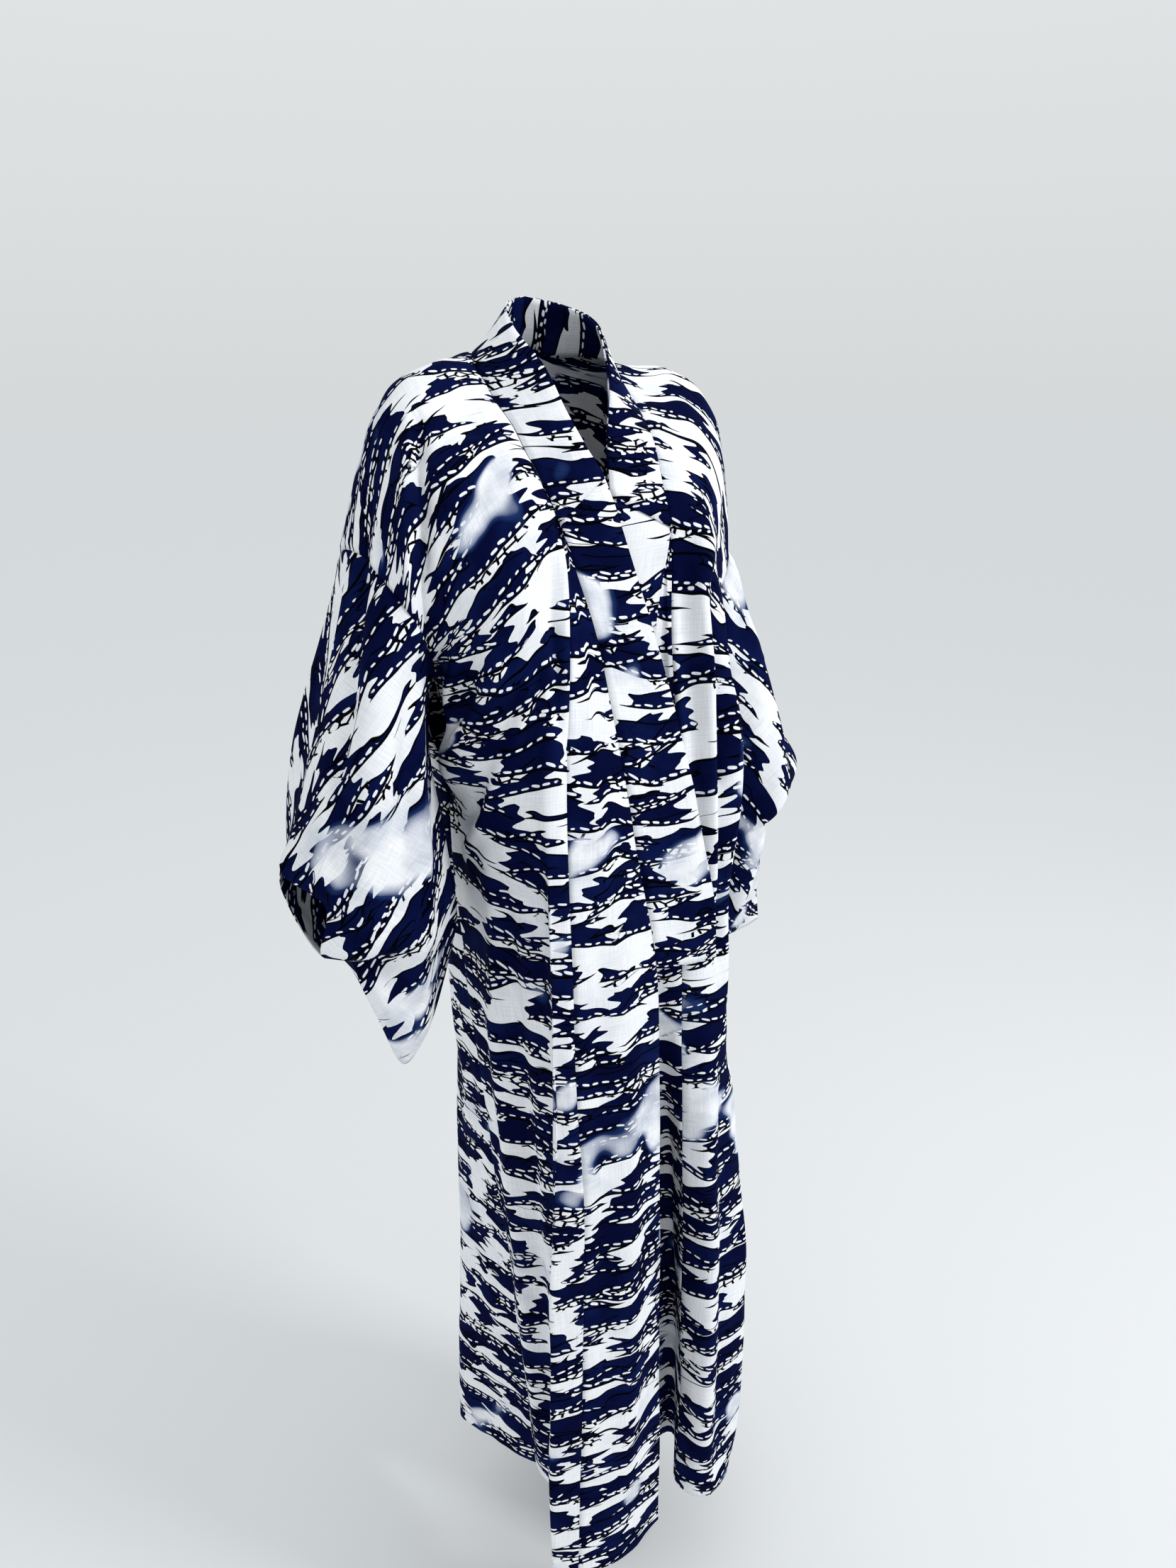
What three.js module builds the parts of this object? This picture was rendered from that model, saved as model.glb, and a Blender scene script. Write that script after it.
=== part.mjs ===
// A cotton yukata (unlined summer kimono), hanging open from the wearer's shoulders, with no belt.
//
// Millimetres, +Z up. The wearer faces -Y and +X is the wearer's left. The origin is the middle of
// the shoulder line, at the base of the neck, where the wearer carries the garment.
// Every piece of cloth is a thin wall laid on one hanging surface. The surface is given by rows
// across the cloth, and the panels are cut from it along their seams.

import * as THREE from "three";

// Driving dimensions.
const CLOTH = 1.2;            // wall of a single panel
const COLLAR = 2.0;           // wall of the folded collar, which is four layers of the same cloth
const SEAM_GAP = 0.3;         // space between two pieces that are sewn together
const OVER_COLLAR_LIFT = 0.4; // space between the collar and the over-collar that wraps it
const SIDE_SEAM_TOP = 7;      // row where the side seam starts, counted from the shoulder row
const ARMPIT = 4;             // row where the sleeve seam ends, counted from the shoulder row
const OKUMI_POINT = 4;        // row where the okumi starts at a point, counted from the shoulder row
const NAPE = 2;               // row of the centre back neck, counted from the shoulder row
const OVER_COLLAR_REACH = 4;  // row where the over-collar ends, counted from the shoulder row
const COLLAR_REACH = 9;       // row where the collar ends, counted from the shoulder row
const SPACING = 52;           // longest step between two rows of the finished surface
const ACROSS = 2;             // steps between two named columns

// The body of the garment, one half at a time. Each row crosses the cloth from the inner edge (the
// collar seam, then the okumi seam on the front and the centre seam on the back) to the outer edge
// (the sleeve seam, then the open underarm, then the side seam). "collar" is the free edge of the
// collar beside the row. Rows run down from the shoulder fold.
const BODY_COLUMNS = ["edge", "pleat", "tuck", "flank", "hip", "side"];

const SHOULDER = {
  right: { edge: [-77, 45, 0], pleat: [-120, 32, -5], tuck: [-158, 24, -20], flank: [-192, 18, -48],
    hip: [-218, 8, -105], side: [-240, -5, -173], collar: [-42, 22, 30] },
  left: { edge: [78, 45, 2], pleat: [122, 36, -4], tuck: [163, 32, -15], flank: [197, 28, -43],
    hip: [206, 24, -108], side: [206, 24, -184], collar: [50, 20, 36] },
};

const FRONT = {
  right: [
    { edge: [-76, -3, -35], pleat: [-115, -8, -38], tuck: [-152, -22, -52], flank: [-186, -34, -84],
      hip: [-212, -46, -135], side: [-230, -59, -190], collar: [-31, -22, -8] },
    { edge: [-72, -48, -75], pleat: [-108, -58, -82], tuck: [-142, -72, -102], flank: [-174, -82, -138],
      hip: [-195, -88, -182], side: [-207, -87, -231], collar: [-27, -56, -48] },
    { edge: [-66, -84, -117], pleat: [-98, -98, -128], tuck: [-130, -108, -155], flank: [-158, -110, -196],
      hip: [-175, -98, -238], side: [-182, -69, -275], collar: [-17, -82, -85] },
    { edge: [-61, -107, -148], pleat: [-93, -124, -168], tuck: [-124, -130, -202], flank: [-150, -124, -240],
      hip: [-168, -94, -270], side: [-175, -43, -287], collar: [-9, -100, -110] },
    { edge: [-74, -140, -255], pleat: [-97, -142, -262], tuck: [-122, -140, -285], flank: [-147, -124, -312],
      hip: [-161, -86, -330], side: [-156, -40, -345] },
    { edge: [-80, -150, -330], pleat: [-103, -151, -336], tuck: [-122, -143, -350], flank: [-150, -122, -368],
      hip: [-164, -80, -380], side: [-152, -22, -385] },
    { edge: [-85, -159, -410], pleat: [-108, -158, -414], tuck: [-116, -144, -418], flank: [-138, -114, -424],
      hip: [-147, -64, -424], side: [-143, -2, -420] },
    { edge: [-89, -172, -540], pleat: [-112, -170, -541], tuck: [-102, -141, -540], flank: [-124, -106, -540],
      hip: [-137, -56, -540], side: [-137, 2, -540] },
    { edge: [-89, -176, -620], pleat: [-114, -172, -620], tuck: [-97, -139, -620], flank: [-117, -102, -620],
      hip: [-131, -55, -620], side: [-134, -4, -620] },
    { edge: [-88, -180, -720], pleat: [-116, -174, -720], tuck: [-91, -138, -720], flank: [-110, -98, -720],
      hip: [-124, -56, -720], side: [-130, -12, -720] },
    { edge: [-82, -186, -880], pleat: [-120, -176, -880], tuck: [-84, -134, -880], flank: [-98, -98, -880],
      hip: [-110, -60, -880], side: [-118, -24, -880] },
    { edge: [-86, -190, -1130], pleat: [-126, -181, -1130], tuck: [-78, -130, -1130],
      flank: [-84, -98, -1130], hip: [-92, -68, -1130], side: [-97, -40, -1130] },
    { edge: [-99, -200, -1402], pleat: [-130, -184, -1400], tuck: [-74, -128, -1392],
      flank: [-74, -100, -1388], hip: [-77, -74, -1385], side: [-80, -50, -1383] },
  ],
  left: [
    { edge: [77, 0, -30], pleat: [117, -6, -36], tuck: [152, -18, -50], flank: [177, -26, -84],
      hip: [190, -24, -140], side: [197, -20, -200], collar: [43, -12, 4] },
    { edge: [73, -48, -72], pleat: [106, -62, -84], tuck: [129, -78, -108], flank: [144, -82, -144],
      hip: [161, -62, -194], side: [176, -44, -240], collar: [29, -42, -34] },
    { edge: [67, -82, -116], pleat: [94, -98, -130], tuck: [112, -104, -158], flank: [123, -103, -200],
      hip: [135, -80, -246], side: [153, -31, -283], collar: [12, -68, -78] },
    { edge: [64, -106, -160], pleat: [90, -121, -175], tuck: [107, -124, -205], flank: [122, -112, -245],
      hip: [138, -72, -275], side: [147, -11, -294], collar: [0, -93, -128] },
    { edge: [55, -126, -270], pleat: [84, -139, -278], tuck: [106, -138, -296], flank: [126, -120, -318],
      hip: [144, -80, -334], side: [148, -24, -345] },
    { edge: [55, -136, -345], pleat: [87, -148, -350], tuck: [113, -146, -358], flank: [135, -126, -372],
      hip: [152, -82, -384], side: [150, -16, -388] },
    { edge: [56, -143, -415], pleat: [88, -153, -418], tuck: [115, -150, -420], flank: [138, -127, -424],
      hip: [155, -80, -424], side: [150, -4, -420] },
    { edge: [60, -149, -540], pleat: [88, -156, -540], tuck: [112, -150, -540], flank: [132, -126, -540],
      hip: [148, -78, -540], side: [148, -10, -540] },
    { edge: [62, -151, -620], pleat: [89, -158, -620], tuck: [114, -153, -620], flank: [134, -128, -620],
      hip: [152, -80, -620], side: [154, -14, -620] },
    { edge: [65, -152, -720], pleat: [90, -160, -720], tuck: [116, -157, -720], flank: [140, -134, -720],
      hip: [160, -88, -720], side: [164, -20, -720] },
    { edge: [71, -152, -880], pleat: [88, -166, -880], tuck: [113, -169, -880], flank: [144, -148, -880],
      hip: [171, -104, -880], side: [176, -30, -880] },
    { edge: [76, -152, -1130], pleat: [88, -176, -1130], tuck: [114, -183, -1130], flank: [154, -164, -1130],
      hip: [192, -116, -1130], side: [197, -42, -1130] },
    { edge: [76, -153, -1400], pleat: [86, -183, -1402], tuck: [107, -191, -1403], flank: [147, -172, -1400],
      hip: [189, -120, -1397], side: [197, -48, -1394] },
  ],
};

const BACK = {
  right: [
    { edge: [-48, 88, 9], pleat: [-78, 96, -2], tuck: [-118, 76, -12], flank: [-158, 55, -30],
      hip: [-195, 42, -92], side: [-230, 43, -190], collar: [-28, 64, 55] },
    { edge: [0, 100, 12], pleat: [-50, 106, -14], tuck: [-100, 102, -36], flank: [-146, 90, -74],
      hip: [-180, 78, -140], side: [-207, 57, -231], collar: [0, 80, 64] },
    { edge: [0, 112, -60], pleat: [-56, 120, -82], tuck: [-108, 118, -108], flank: [-150, 103, -150],
      hip: [-176, 78, -210], side: [-182, 24, -275] },
    { edge: [0, 119, -140], pleat: [-58, 129, -158], tuck: [-112, 125, -184], flank: [-150, 105, -222],
      hip: [-169, 68, -260], side: [-175, -6, -287] },
    { edge: [0, 122, -240], pleat: [-58, 130, -252], tuck: [-112, 122, -272], flank: [-145, 100, -300],
      hip: [-161, 64, -326], side: [-164, 20, -342] },
    { edge: [0, 122, -330], pleat: [-57, 127, -338], tuck: [-108, 117, -350], flank: [-138, 94, -366],
      hip: [-152, 56, -380], side: [-153, 14, -385] },
    { edge: [0, 121, -420], pleat: [-56, 124, -420], tuck: [-104, 112, -420], flank: [-131, 86, -420],
      hip: [-144, 44, -420], side: [-143, -2, -420] },
    { edge: [0, 120, -540], pleat: [-55, 121, -540], tuck: [-100, 108, -540], flank: [-121, 79, -540],
      hip: [-139, 42, -540], side: [-137, 2, -540] },
    { edge: [0, 120, -620], pleat: [-55, 120, -620], tuck: [-99, 107, -620], flank: [-118, 78, -620],
      hip: [-136, 40, -620], side: [-134, -4, -620] },
    { edge: [0, 120, -720], pleat: [-55, 120, -720], tuck: [-98, 106, -720], flank: [-115, 77, -720],
      hip: [-132, 35, -720], side: [-130, -12, -720] },
    { edge: [0, 120, -880], pleat: [-55, 120, -880], tuck: [-100, 106, -880], flank: [-117, 76, -880],
      hip: [-125, 27, -880], side: [-118, -24, -880] },
    { edge: [0, 121, -1130], pleat: [-55, 121, -1130], tuck: [-103, 106, -1130], flank: [-122, 76, -1130],
      hip: [-115, 20, -1130], side: [-97, -40, -1130] },
    { edge: [0, 122, -1400], pleat: [-55, 122, -1400], tuck: [-106, 106, -1398], flank: [-129, 79, -1395],
      hip: [-107, 21, -1389], side: [-80, -50, -1383] },
  ],
  left: [
    { edge: [48, 88, 9], pleat: [78, 96, -2], tuck: [120, 78, -10], flank: [159, 64, -28],
      hip: [186, 60, -96], side: [197, 62, -200], collar: [30, 64, 56] },
    { edge: [0, 100, 12], pleat: [50, 106, -14], tuck: [100, 103, -36], flank: [142, 95, -76],
      hip: [163, 86, -146], side: [176, 72, -240], collar: [0, 80, 64] },
    { edge: [0, 112, -60], pleat: [56, 120, -82], tuck: [105, 119, -110], flank: [138, 106, -154],
      hip: [152, 84, -216], side: [153, 43, -283] },
    { edge: [0, 119, -140], pleat: [58, 129, -158], tuck: [106, 125, -186], flank: [136, 106, -226],
      hip: [147, 74, -266], side: [147, 19, -294] },
    { edge: [0, 122, -240], pleat: [58, 130, -252], tuck: [106, 122, -272], flank: [135, 100, -302],
      hip: [148, 66, -326], side: [149, 30, -345] },
    { edge: [0, 122, -330], pleat: [58, 128, -338], tuck: [107, 118, -350], flank: [138, 94, -368],
      hip: [152, 54, -382], side: [151, 10, -388] },
    { edge: [0, 121, -420], pleat: [58, 125, -420], tuck: [108, 114, -420], flank: [140, 88, -420],
      hip: [154, 46, -420], side: [150, -4, -420] },
    { edge: [0, 120, -540], pleat: [58, 123, -540], tuck: [108, 112, -540], flank: [139, 86, -540],
      hip: [153, 42, -540], side: [148, -10, -540] },
    { edge: [0, 120, -620], pleat: [58, 122, -620], tuck: [109, 112, -620], flank: [142, 86, -620],
      hip: [158, 40, -620], side: [154, -14, -620] },
    { edge: [0, 120, -720], pleat: [59, 122, -720], tuck: [111, 112, -720], flank: [149, 84, -720],
      hip: [167, 37, -720], side: [164, -20, -720] },
    { edge: [0, 120, -880], pleat: [60, 122, -880], tuck: [115, 111, -880], flank: [158, 82, -880],
      hip: [179, 32, -880], side: [176, -30, -880] },
    { edge: [0, 121, -1130], pleat: [61, 122, -1130], tuck: [120, 110, -1130], flank: [168, 78, -1130],
      hip: [194, 26, -1130], side: [197, -42, -1130] },
    { edge: [0, 122, -1400], pleat: [60, 122, -1400], tuck: [119, 108, -1400], flank: [168, 75, -1398],
      hip: [194, 22, -1396], side: [197, -48, -1394] },
  ],
};

// The okumi, the narrow overlap panel on each front, from its point on the collar seam down to the
// hem. Its first column is the seam to the front panel, which the body rows already give.
const OKUMI_COLUMNS = ["middle", "free"];
const OKUMI = {
  right: [
    { middle: [-57, -139, -254], free: [-40, -137, -253], collar: [18, -135, -230] },
    { middle: [-55, -152, -329], free: [-30, -149, -328], collar: [39, -150, -316] },
    { middle: [-52, -162, -410], free: [-17, -157, -408], collar: [57, -158, -396] },
    { middle: [-42, -173, -540], free: [7, -164, -538], collar: [86, -166, -530] },
    { middle: [-34, -178, -620], free: [20, -167, -620], collar: [96, -169, -620] },
    { middle: [-30, -182, -720], free: [24, -169, -720] },
    { middle: [-26, -188, -880], free: [28, -172, -880] },
    { middle: [-28, -194, -1130], free: [29, -177, -1130] },
    { middle: [-38, -204, -1406], free: [27, -187, -1402] },
  ],
  left: [
    { middle: [48, -123, -262], free: [40, -121, -250], collar: [-16, -117, -226] },
    { middle: [43, -132, -342], free: [29, -130, -335], collar: [-30, -127, -318] },
    { middle: [38, -139, -414], free: [18, -137, -410], collar: [-46, -133, -396] },
    { middle: [30, -145, -540], free: [-2, -143, -538], collar: [-70, -138, -530] },
    { middle: [28, -146, -620], free: [-8, -145, -620], collar: [-74, -140, -614] },
    { middle: [44, -136, -720], free: [-4, -140, -720] },
    { middle: [78, -112, -880], free: [8, -118, -880] },
    { middle: [101, -98, -1130], free: [24, -106, -1130] },
    { middle: [110, -92, -1396], free: [30, -104, -1396] },
  ],
};

// The sleeves, bags that hang from the arm. "fold" is the top fold along the arm, then the edge of
// the cuff opening, then the sewn edge; "inner" is the open edge next to the body. The rows run on
// from the sleeve seam to the bottom seam, where front and back meet.
const SLEEVE_COLUMNS = ["fold", "outer", "middle", "under", "inner"];
const SLEEVE = {
  right: {
    front: [
      { fold: [-263, -22, -256], outer: [-258, -76, -266], middle: [-236, -103, -288],
        under: [-206, -92, -314], inner: [-187, -58, -326] },
      { fold: [-296, -40, -345], outer: [-287, -90, -350], middle: [-260, -117, -370],
        under: [-220, -110, -390], inner: [-187, -72, -398] },
      { fold: [-326, -56, -425], outer: [-314, -97, -428], middle: [-288, -104, -444],
        under: [-236, -121, -462], inner: [-177, -76, -476] },
      { fold: [-345, -65, -461], outer: [-321, -94, -470], middle: [-294, -108, -484],
        under: [-240, -124, -500], inner: [-172, -78, -512] },
      { fold: [-312, -92, -497], outer: [-297, -108, -503], middle: [-276, -120, -512],
        under: [-234, -124, -526], inner: [-170, -76, -544] },
      { fold: [-320, -92, -546], outer: [-300, -108, -548], middle: [-270, -118, -546],
        under: [-226, -118, -546], inner: [-172, -72, -566] },
      { fold: [-292, -84, -560], outer: [-280, -92, -564], middle: [-258, -98, -566],
        under: [-222, -104, -570], inner: [-175, -68, -584] },
      { fold: [-278, -82, -600], outer: [-266, -94, -604], middle: [-246, -99, -608],
        under: [-217, -96, -612], inner: [-184, -68, -618] },
      { fold: [-260, -80, -650], outer: [-250, -89, -654], middle: [-234, -92, -658],
        under: [-216, -88, -660], inner: [-200, -72, -660] },
    ],
    back: [
      { fold: [-263, -22, -256], outer: [-260, 20, -264], middle: [-240, 46, -286],
        under: [-208, 44, -314], inner: [-188, 22, -328] },
      { fold: [-296, -40, -345], outer: [-288, 8, -350], middle: [-262, 36, -370],
        under: [-224, 40, -392], inner: [-190, 14, -400] },
      { fold: [-326, -56, -425], outer: [-316, -10, -432], middle: [-288, 18, -450],
        under: [-240, 30, -466], inner: [-180, 6, -478] },
      { fold: [-345, -65, -461], outer: [-330, -22, -474], middle: [-298, 6, -490],
        under: [-244, 20, -504], inner: [-174, -2, -516] },
      { fold: [-336, -40, -505], outer: [-318, -16, -516], middle: [-286, -2, -522],
        under: [-238, 8, -532], inner: [-172, -12, -546] },
      { fold: [-320, -92, -546], outer: [-308, -54, -552], middle: [-276, -22, -554],
        under: [-230, -8, -558], inner: [-173, -26, -568] },
      { fold: [-292, -84, -560], outer: [-284, -54, -576], middle: [-260, -32, -580],
        under: [-224, -24, -584], inner: [-175, -36, -588] },
      { fold: [-278, -82, -600], outer: [-268, -58, -610], middle: [-247, -44, -613],
        under: [-218, -42, -615], inner: [-185, -44, -620] },
      { fold: [-260, -80, -650], outer: [-251, -68, -656], middle: [-235, -61, -659],
        under: [-216, -58, -661], inner: [-201, -58, -661] },
    ],
    bottom: { fold: [-249, -79, -684], outer: [-244, -79, -694], middle: [-238, -79, -700],
      under: [-230, -79, -696], inner: [-221, -77, -686] },
    cuff: [4, 6],
  },
  left: {
    front: [
      { fold: [228, 8, -262], outer: [221, -26, -272], middle: [200, -50, -294],
        under: [177, -54, -318], inner: [161, -34, -333] },
      { fold: [256, -4, -340], outer: [247, -44, -348], middle: [226, -68, -366],
        under: [197, -66, -386], inner: [175, -38, -400] },
      { fold: [284, -20, -412], outer: [271, -56, -420], middle: [248, -76, -438],
        under: [216, -70, -456], inner: [188, -40, -470] },
      { fold: [306, -40, -468], outer: [284, -62, -482], middle: [258, -76, -500],
        under: [226, -72, -516], inner: [194, -42, -530] },
      { fold: [264, -40, -512], outer: [254, -54, -520], middle: [238, -62, -530],
        under: [214, -58, -542], inner: [195, -36, -554] },
      { fold: [270, -8, -560], outer: [259, -36, -566], middle: [240, -48, -572],
        under: [217, -46, -580], inner: [197, -30, -588] },
      { fold: [276, -4, -600], outer: [264, -28, -605], middle: [244, -38, -610],
        under: [220, -38, -616], inner: [199, -26, -622] },
      { fold: [283, -1, -640], outer: [269, -17, -645], middle: [247, -26, -650],
        under: [223, -27, -655], inner: [201, -18, -660] },
      { fold: [289, 1, -672], outer: [273, -6, -678], middle: [250, -13, -682],
        under: [225, -15, -686], inner: [203, -10, -690] },
    ],
    back: [
      { fold: [228, 8, -262], outer: [224, 46, -272], middle: [202, 66, -294],
        under: [178, 56, -320], inner: [163, 28, -336] },
      { fold: [256, -4, -340], outer: [249, 38, -350], middle: [228, 60, -368],
        under: [199, 52, -390], inner: [175, 22, -403] },
      { fold: [284, -20, -412], outer: [275, 22, -424], middle: [252, 46, -442],
        under: [220, 42, -460], inner: [188, 16, -474] },
      { fold: [306, -40, -468], outer: [288, 6, -484], middle: [262, 32, -504],
        under: [228, 34, -520], inner: [195, 14, -535] },
      { fold: [266, 8, -514], outer: [257, 24, -526], middle: [243, 34, -538],
        under: [220, 31, -549], inner: [197, 12, -560] },
      { fold: [270, -8, -560], outer: [266, 16, -572], middle: [247, 28, -580],
        under: [222, 27, -586], inner: [199, 10, -592] },
      { fold: [276, -4, -600], outer: [267, 15, -608], middle: [248, 24, -613],
        under: [223, 22, -619], inner: [200, 6, -624] },
      { fold: [283, -1, -640], outer: [271, 13, -647], middle: [249, 19, -652],
        under: [225, 16, -657], inner: [202, 2, -662] },
      { fold: [289, 1, -672], outer: [274, 8, -679], middle: [251, 10, -683],
        under: [226, 7, -687], inner: [204, -4, -691] },
    ],
    bottom: { fold: [292, 2, -692], outer: [275, 1, -697], middle: [252, -1, -700],
      under: [227, -4, -702], inner: [205, -7, -704] },
    cuff: [4, 6],
  },
};

// A smooth curve through the places, cut into steps[i] parts between places i and i + 1.
function runThrough(places, steps) {
  const curve = new THREE.CatmullRomCurve3(places, false, "centripetal");
  const run = [];
  steps.forEach((count, span) => {
    for (let part = 0; part < count; part += 1) {
      run.push(curve.getPoint((span + part / count) / steps.length));
    }
  });
  run.push(places[places.length - 1].clone());
  return run;
}

const total = (counts) => counts.reduce((sum, count) => sum + count, 0);
const placesOf = (row, names) => names.map((name) => new THREE.Vector3(...row[name]));
const columnOf = (rows, name) => rows.map((row) => new THREE.Vector3(...row[name]));
const stepsAlong = (places) => places.slice(1).map((place, k) => Math.ceil(place.distanceTo(places[k]) / SPACING));
const larger = (counts, others) => counts.map((count, k) => Math.max(count, others[k]));

// The body rows are cut alike on both sides, front and back, so that the seams meet point to point.
const STEPS = [FRONT, BACK]
  .flatMap((part) => ["right", "left"].map((side) => [SHOULDER[side], ...part[side]]))
  .map((rows) => stepsAlong(columnOf(rows, "side")))
  .reduce(larger);
const HALF = total(STEPS);
const stepsTo = (row) => total(STEPS.slice(0, row));

// All the cloth, as rings of shared points, each ring marked with its piece.
const points = [];
const pointIds = new Map();
const rings = [];

function idOf(point) {
  const key = point.toArray().map((value) => Math.round(value * 1000)).join(" ");
  if (!pointIds.has(key)) {
    pointIds.set(key, points.length);
    points.push(point.clone());
  }
  return pointIds.get(key);
}

// Splits a quad along the diagonal that stands further out, so that no fold pinches its two walls.
function facesOf(ids) {
  if (ids.length === 3) {
    return [ids];
  }
  const [a, b, c, d] = ids.map((id) => points[id]);
  const out = new THREE.Vector3().subVectors(c, a).cross(new THREE.Vector3().subVectors(d, b));
  const step = new THREE.Vector3().addVectors(b, d).sub(a).sub(c);
  const [first, second, third, fourth] = step.dot(out) > 0 ? [...ids.slice(1), ids[0]] : ids;
  return [[first, second, third], [first, third, fourth]];
}

// Adds a grid of cloth. Its outer face is where (along the rows) x (along a row) points, or the
// other way if turned.
function addGrid(piece, grid, turned) {
  for (let i = 0; i + 1 < grid.length; i += 1) {
    for (let j = 0; j + 1 < grid[i].length; j += 1) {
      const corners = [grid[i][j], grid[i + 1][j], grid[i + 1][j + 1], grid[i][j + 1]].map(idOf);
      const ids = corners.filter((id, k) => id !== corners[(k + 1) % 4]);
      if (ids.length > 2) {
        rings.push({ piece, row: i, ids: turned ? ids.reverse() : ids });
      }
    }
  }
}

// One half of the body, from the back hem over the shoulder to the front hem.
function bodyHalf(side) {
  const rows = [...BACK[side].slice().reverse(), SHOULDER[side], ...FRONT[side]];
  const down = [...STEPS.slice().reverse(), ...STEPS];
  const runs = BODY_COLUMNS.map((name) => runThrough(columnOf(rows, name), down));
  const across = BODY_COLUMNS.slice(1).map(() => ACROSS);
  const grid = runs[0].map((_, k) => runThrough(runs.map((run) => run[k]), across));
  const last = grid[0].length - 1;
  for (let k = 0; k <= HALF - stepsTo(NAPE); k += 1) {
    grid[k][0].setX(0);
  }
  for (let k = stepsTo(SIDE_SEAM_TOP); k <= HALF; k += 1) {
    grid[HALF - k][last].copy(grid[HALF + k][last]);
  }
  addGrid(`body_${side}`, grid, side === "right");
  return grid;
}

// The okumi starts at a point on the collar seam and shares the front's edge down to the hem.
function okumiOf(side, body) {
  const start = FRONT[side][OKUMI_POINT - 1].edge;
  const rows = [{ middle: start, free: start }, ...OKUMI[side]];
  const seam = body.slice(HALF + stepsTo(OKUMI_POINT)).map((row) => row[0]);
  const [middle, free] = OKUMI_COLUMNS.map((name) => runThrough(columnOf(rows, name), STEPS.slice(OKUMI_POINT)));
  const grid = seam.map((point, k) => runThrough([point, middle[k], free[k]], [ACROSS, ACROSS]));
  addGrid(`okumi_${side}`, grid, side === "left");
  return grid;
}

// Half of the collar, from the centre back round the neck and down the front. It shares the neck
// edge of the body, then the free edge of the okumi.
function collarHalf(side, body, okumi) {
  const onBack = BACK[side].slice(0, NAPE).reverse();
  const rows = [...onBack, SHOULDER[side], ...FRONT[side].slice(0, OKUMI_POINT), ...OKUMI[side]];
  const steps = [...STEPS.slice(0, NAPE).reverse(), ...STEPS.slice(0, COLLAR_REACH)];
  const free = runThrough(columnOf(rows.slice(0, steps.length + 1), "collar"), steps);
  const neck = body.slice(HALF - stepsTo(NAPE), HALF + stepsTo(OKUMI_POINT)).map((row) => row[0]);
  const front = okumi.map((row) => row[row.length - 1]);
  const seam = [...neck, ...front].slice(0, free.length);
  addGrid("collar", seam.map((point, k) => runThrough([point, free[k]], [ACROSS])), side === "left");
}

// A sleeve starts as the ring of the body's sleeve seam. Its front and back are one cloth along the
// top fold, part at the cuff, and are sewn together below it and along the bottom.
function sleeveOf(side, body) {
  const { front, back, bottom, cuff } = SLEEVE[side];
  const across = STEPS.slice(0, ARMPIT);
  const last = body[0].length - 1;
  const down = stepsAlong([...columnOf([SHOULDER[side]], "side"), ...columnOf([...front, bottom], "fold")]);
  const sheet = (rows, way) => {
    const seam = [];
    for (let k = 0; k <= stepsTo(ARMPIT); k += 1) {
      seam.push(body[HALF + way * k][last]);
    }
    const crossings = [...rows, bottom].map((row) => runThrough(placesOf(row, SLEEVE_COLUMNS), across));
    const runs = seam.map((point, k) => runThrough([point, ...crossings.map((places) => places[k])], down));
    return runs[0].map((_, k) => runs.map((run) => run[k]));
  };
  const frontSheet = sheet(front, 1);
  const backSheet = sheet(back, -1);
  const opens = total(down.slice(0, cuff[0]));
  const closes = total(down.slice(0, cuff[1]));
  backSheet.forEach((row, k) => {
    if (k <= opens || k >= closes) {
      row[0].copy(frontSheet[k][0]);
    }
  });
  addGrid(`sleeve_${side}`, frontSheet, side === "left");
  addGrid(`sleeve_${side}`, backSheet, side === "right");
}

for (const side of ["right", "left"]) {
  const body = bodyHalf(side);
  const okumi = okumiOf(side, body);
  collarHalf(side, body, okumi);
  sleeveOf(side, body);
}

const between = (from, to) => new THREE.Vector3().subVectors(points[to], points[from]);

// The way out of the cloth at every point, the same for all the pieces that meet there. Each piece
// counts once, so that at a seam it halves the angle between them.
const outward = points.map(() => new THREE.Vector3());
for (const piece of new Set(rings.map((ring) => ring.piece))) {
  const own = new Map();
  for (const face of rings.filter((ring) => ring.piece === piece).flatMap((ring) => facesOf(ring.ids))) {
    const [a, b, c] = face;
    const normal = between(a, b).cross(between(a, c)).normalize();
    for (const [at, next, previous] of [[a, b, c], [b, c, a], [c, a, b]]) {
      const corner = between(at, next).angleTo(between(at, previous));
      own.set(at, (own.get(at) ?? new THREE.Vector3()).addScaledVector(normal, corner));
    }
  }
  own.forEach((way, id) => outward[id].add(way.normalize()));
}
outward.forEach((way) => way.normalize());

// How far a piece stands back from the seams that it shares, at each of their points.
function seamSteps(piece) {
  const own = rings.filter((ring) => ring.piece === piece);
  const others = new Set(rings.filter((ring) => ring.piece !== piece).flatMap((ring) => ring.ids));
  const steps = new Map();
  for (const { ids } of own) {
    const centre = ids.reduce((sum, id) => sum.add(points[id]), new THREE.Vector3()).divideScalar(ids.length);
    for (const id of ids.filter((each) => others.has(each))) {
      const way = centre.clone().sub(points[id]).projectOnPlane(outward[id]).normalize();
      steps.set(id, (steps.get(id) ?? new THREE.Vector3()).add(way));
    }
  }
  steps.forEach((way) => way.setLength(SEAM_GAP / 2));
  return steps;
}

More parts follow.
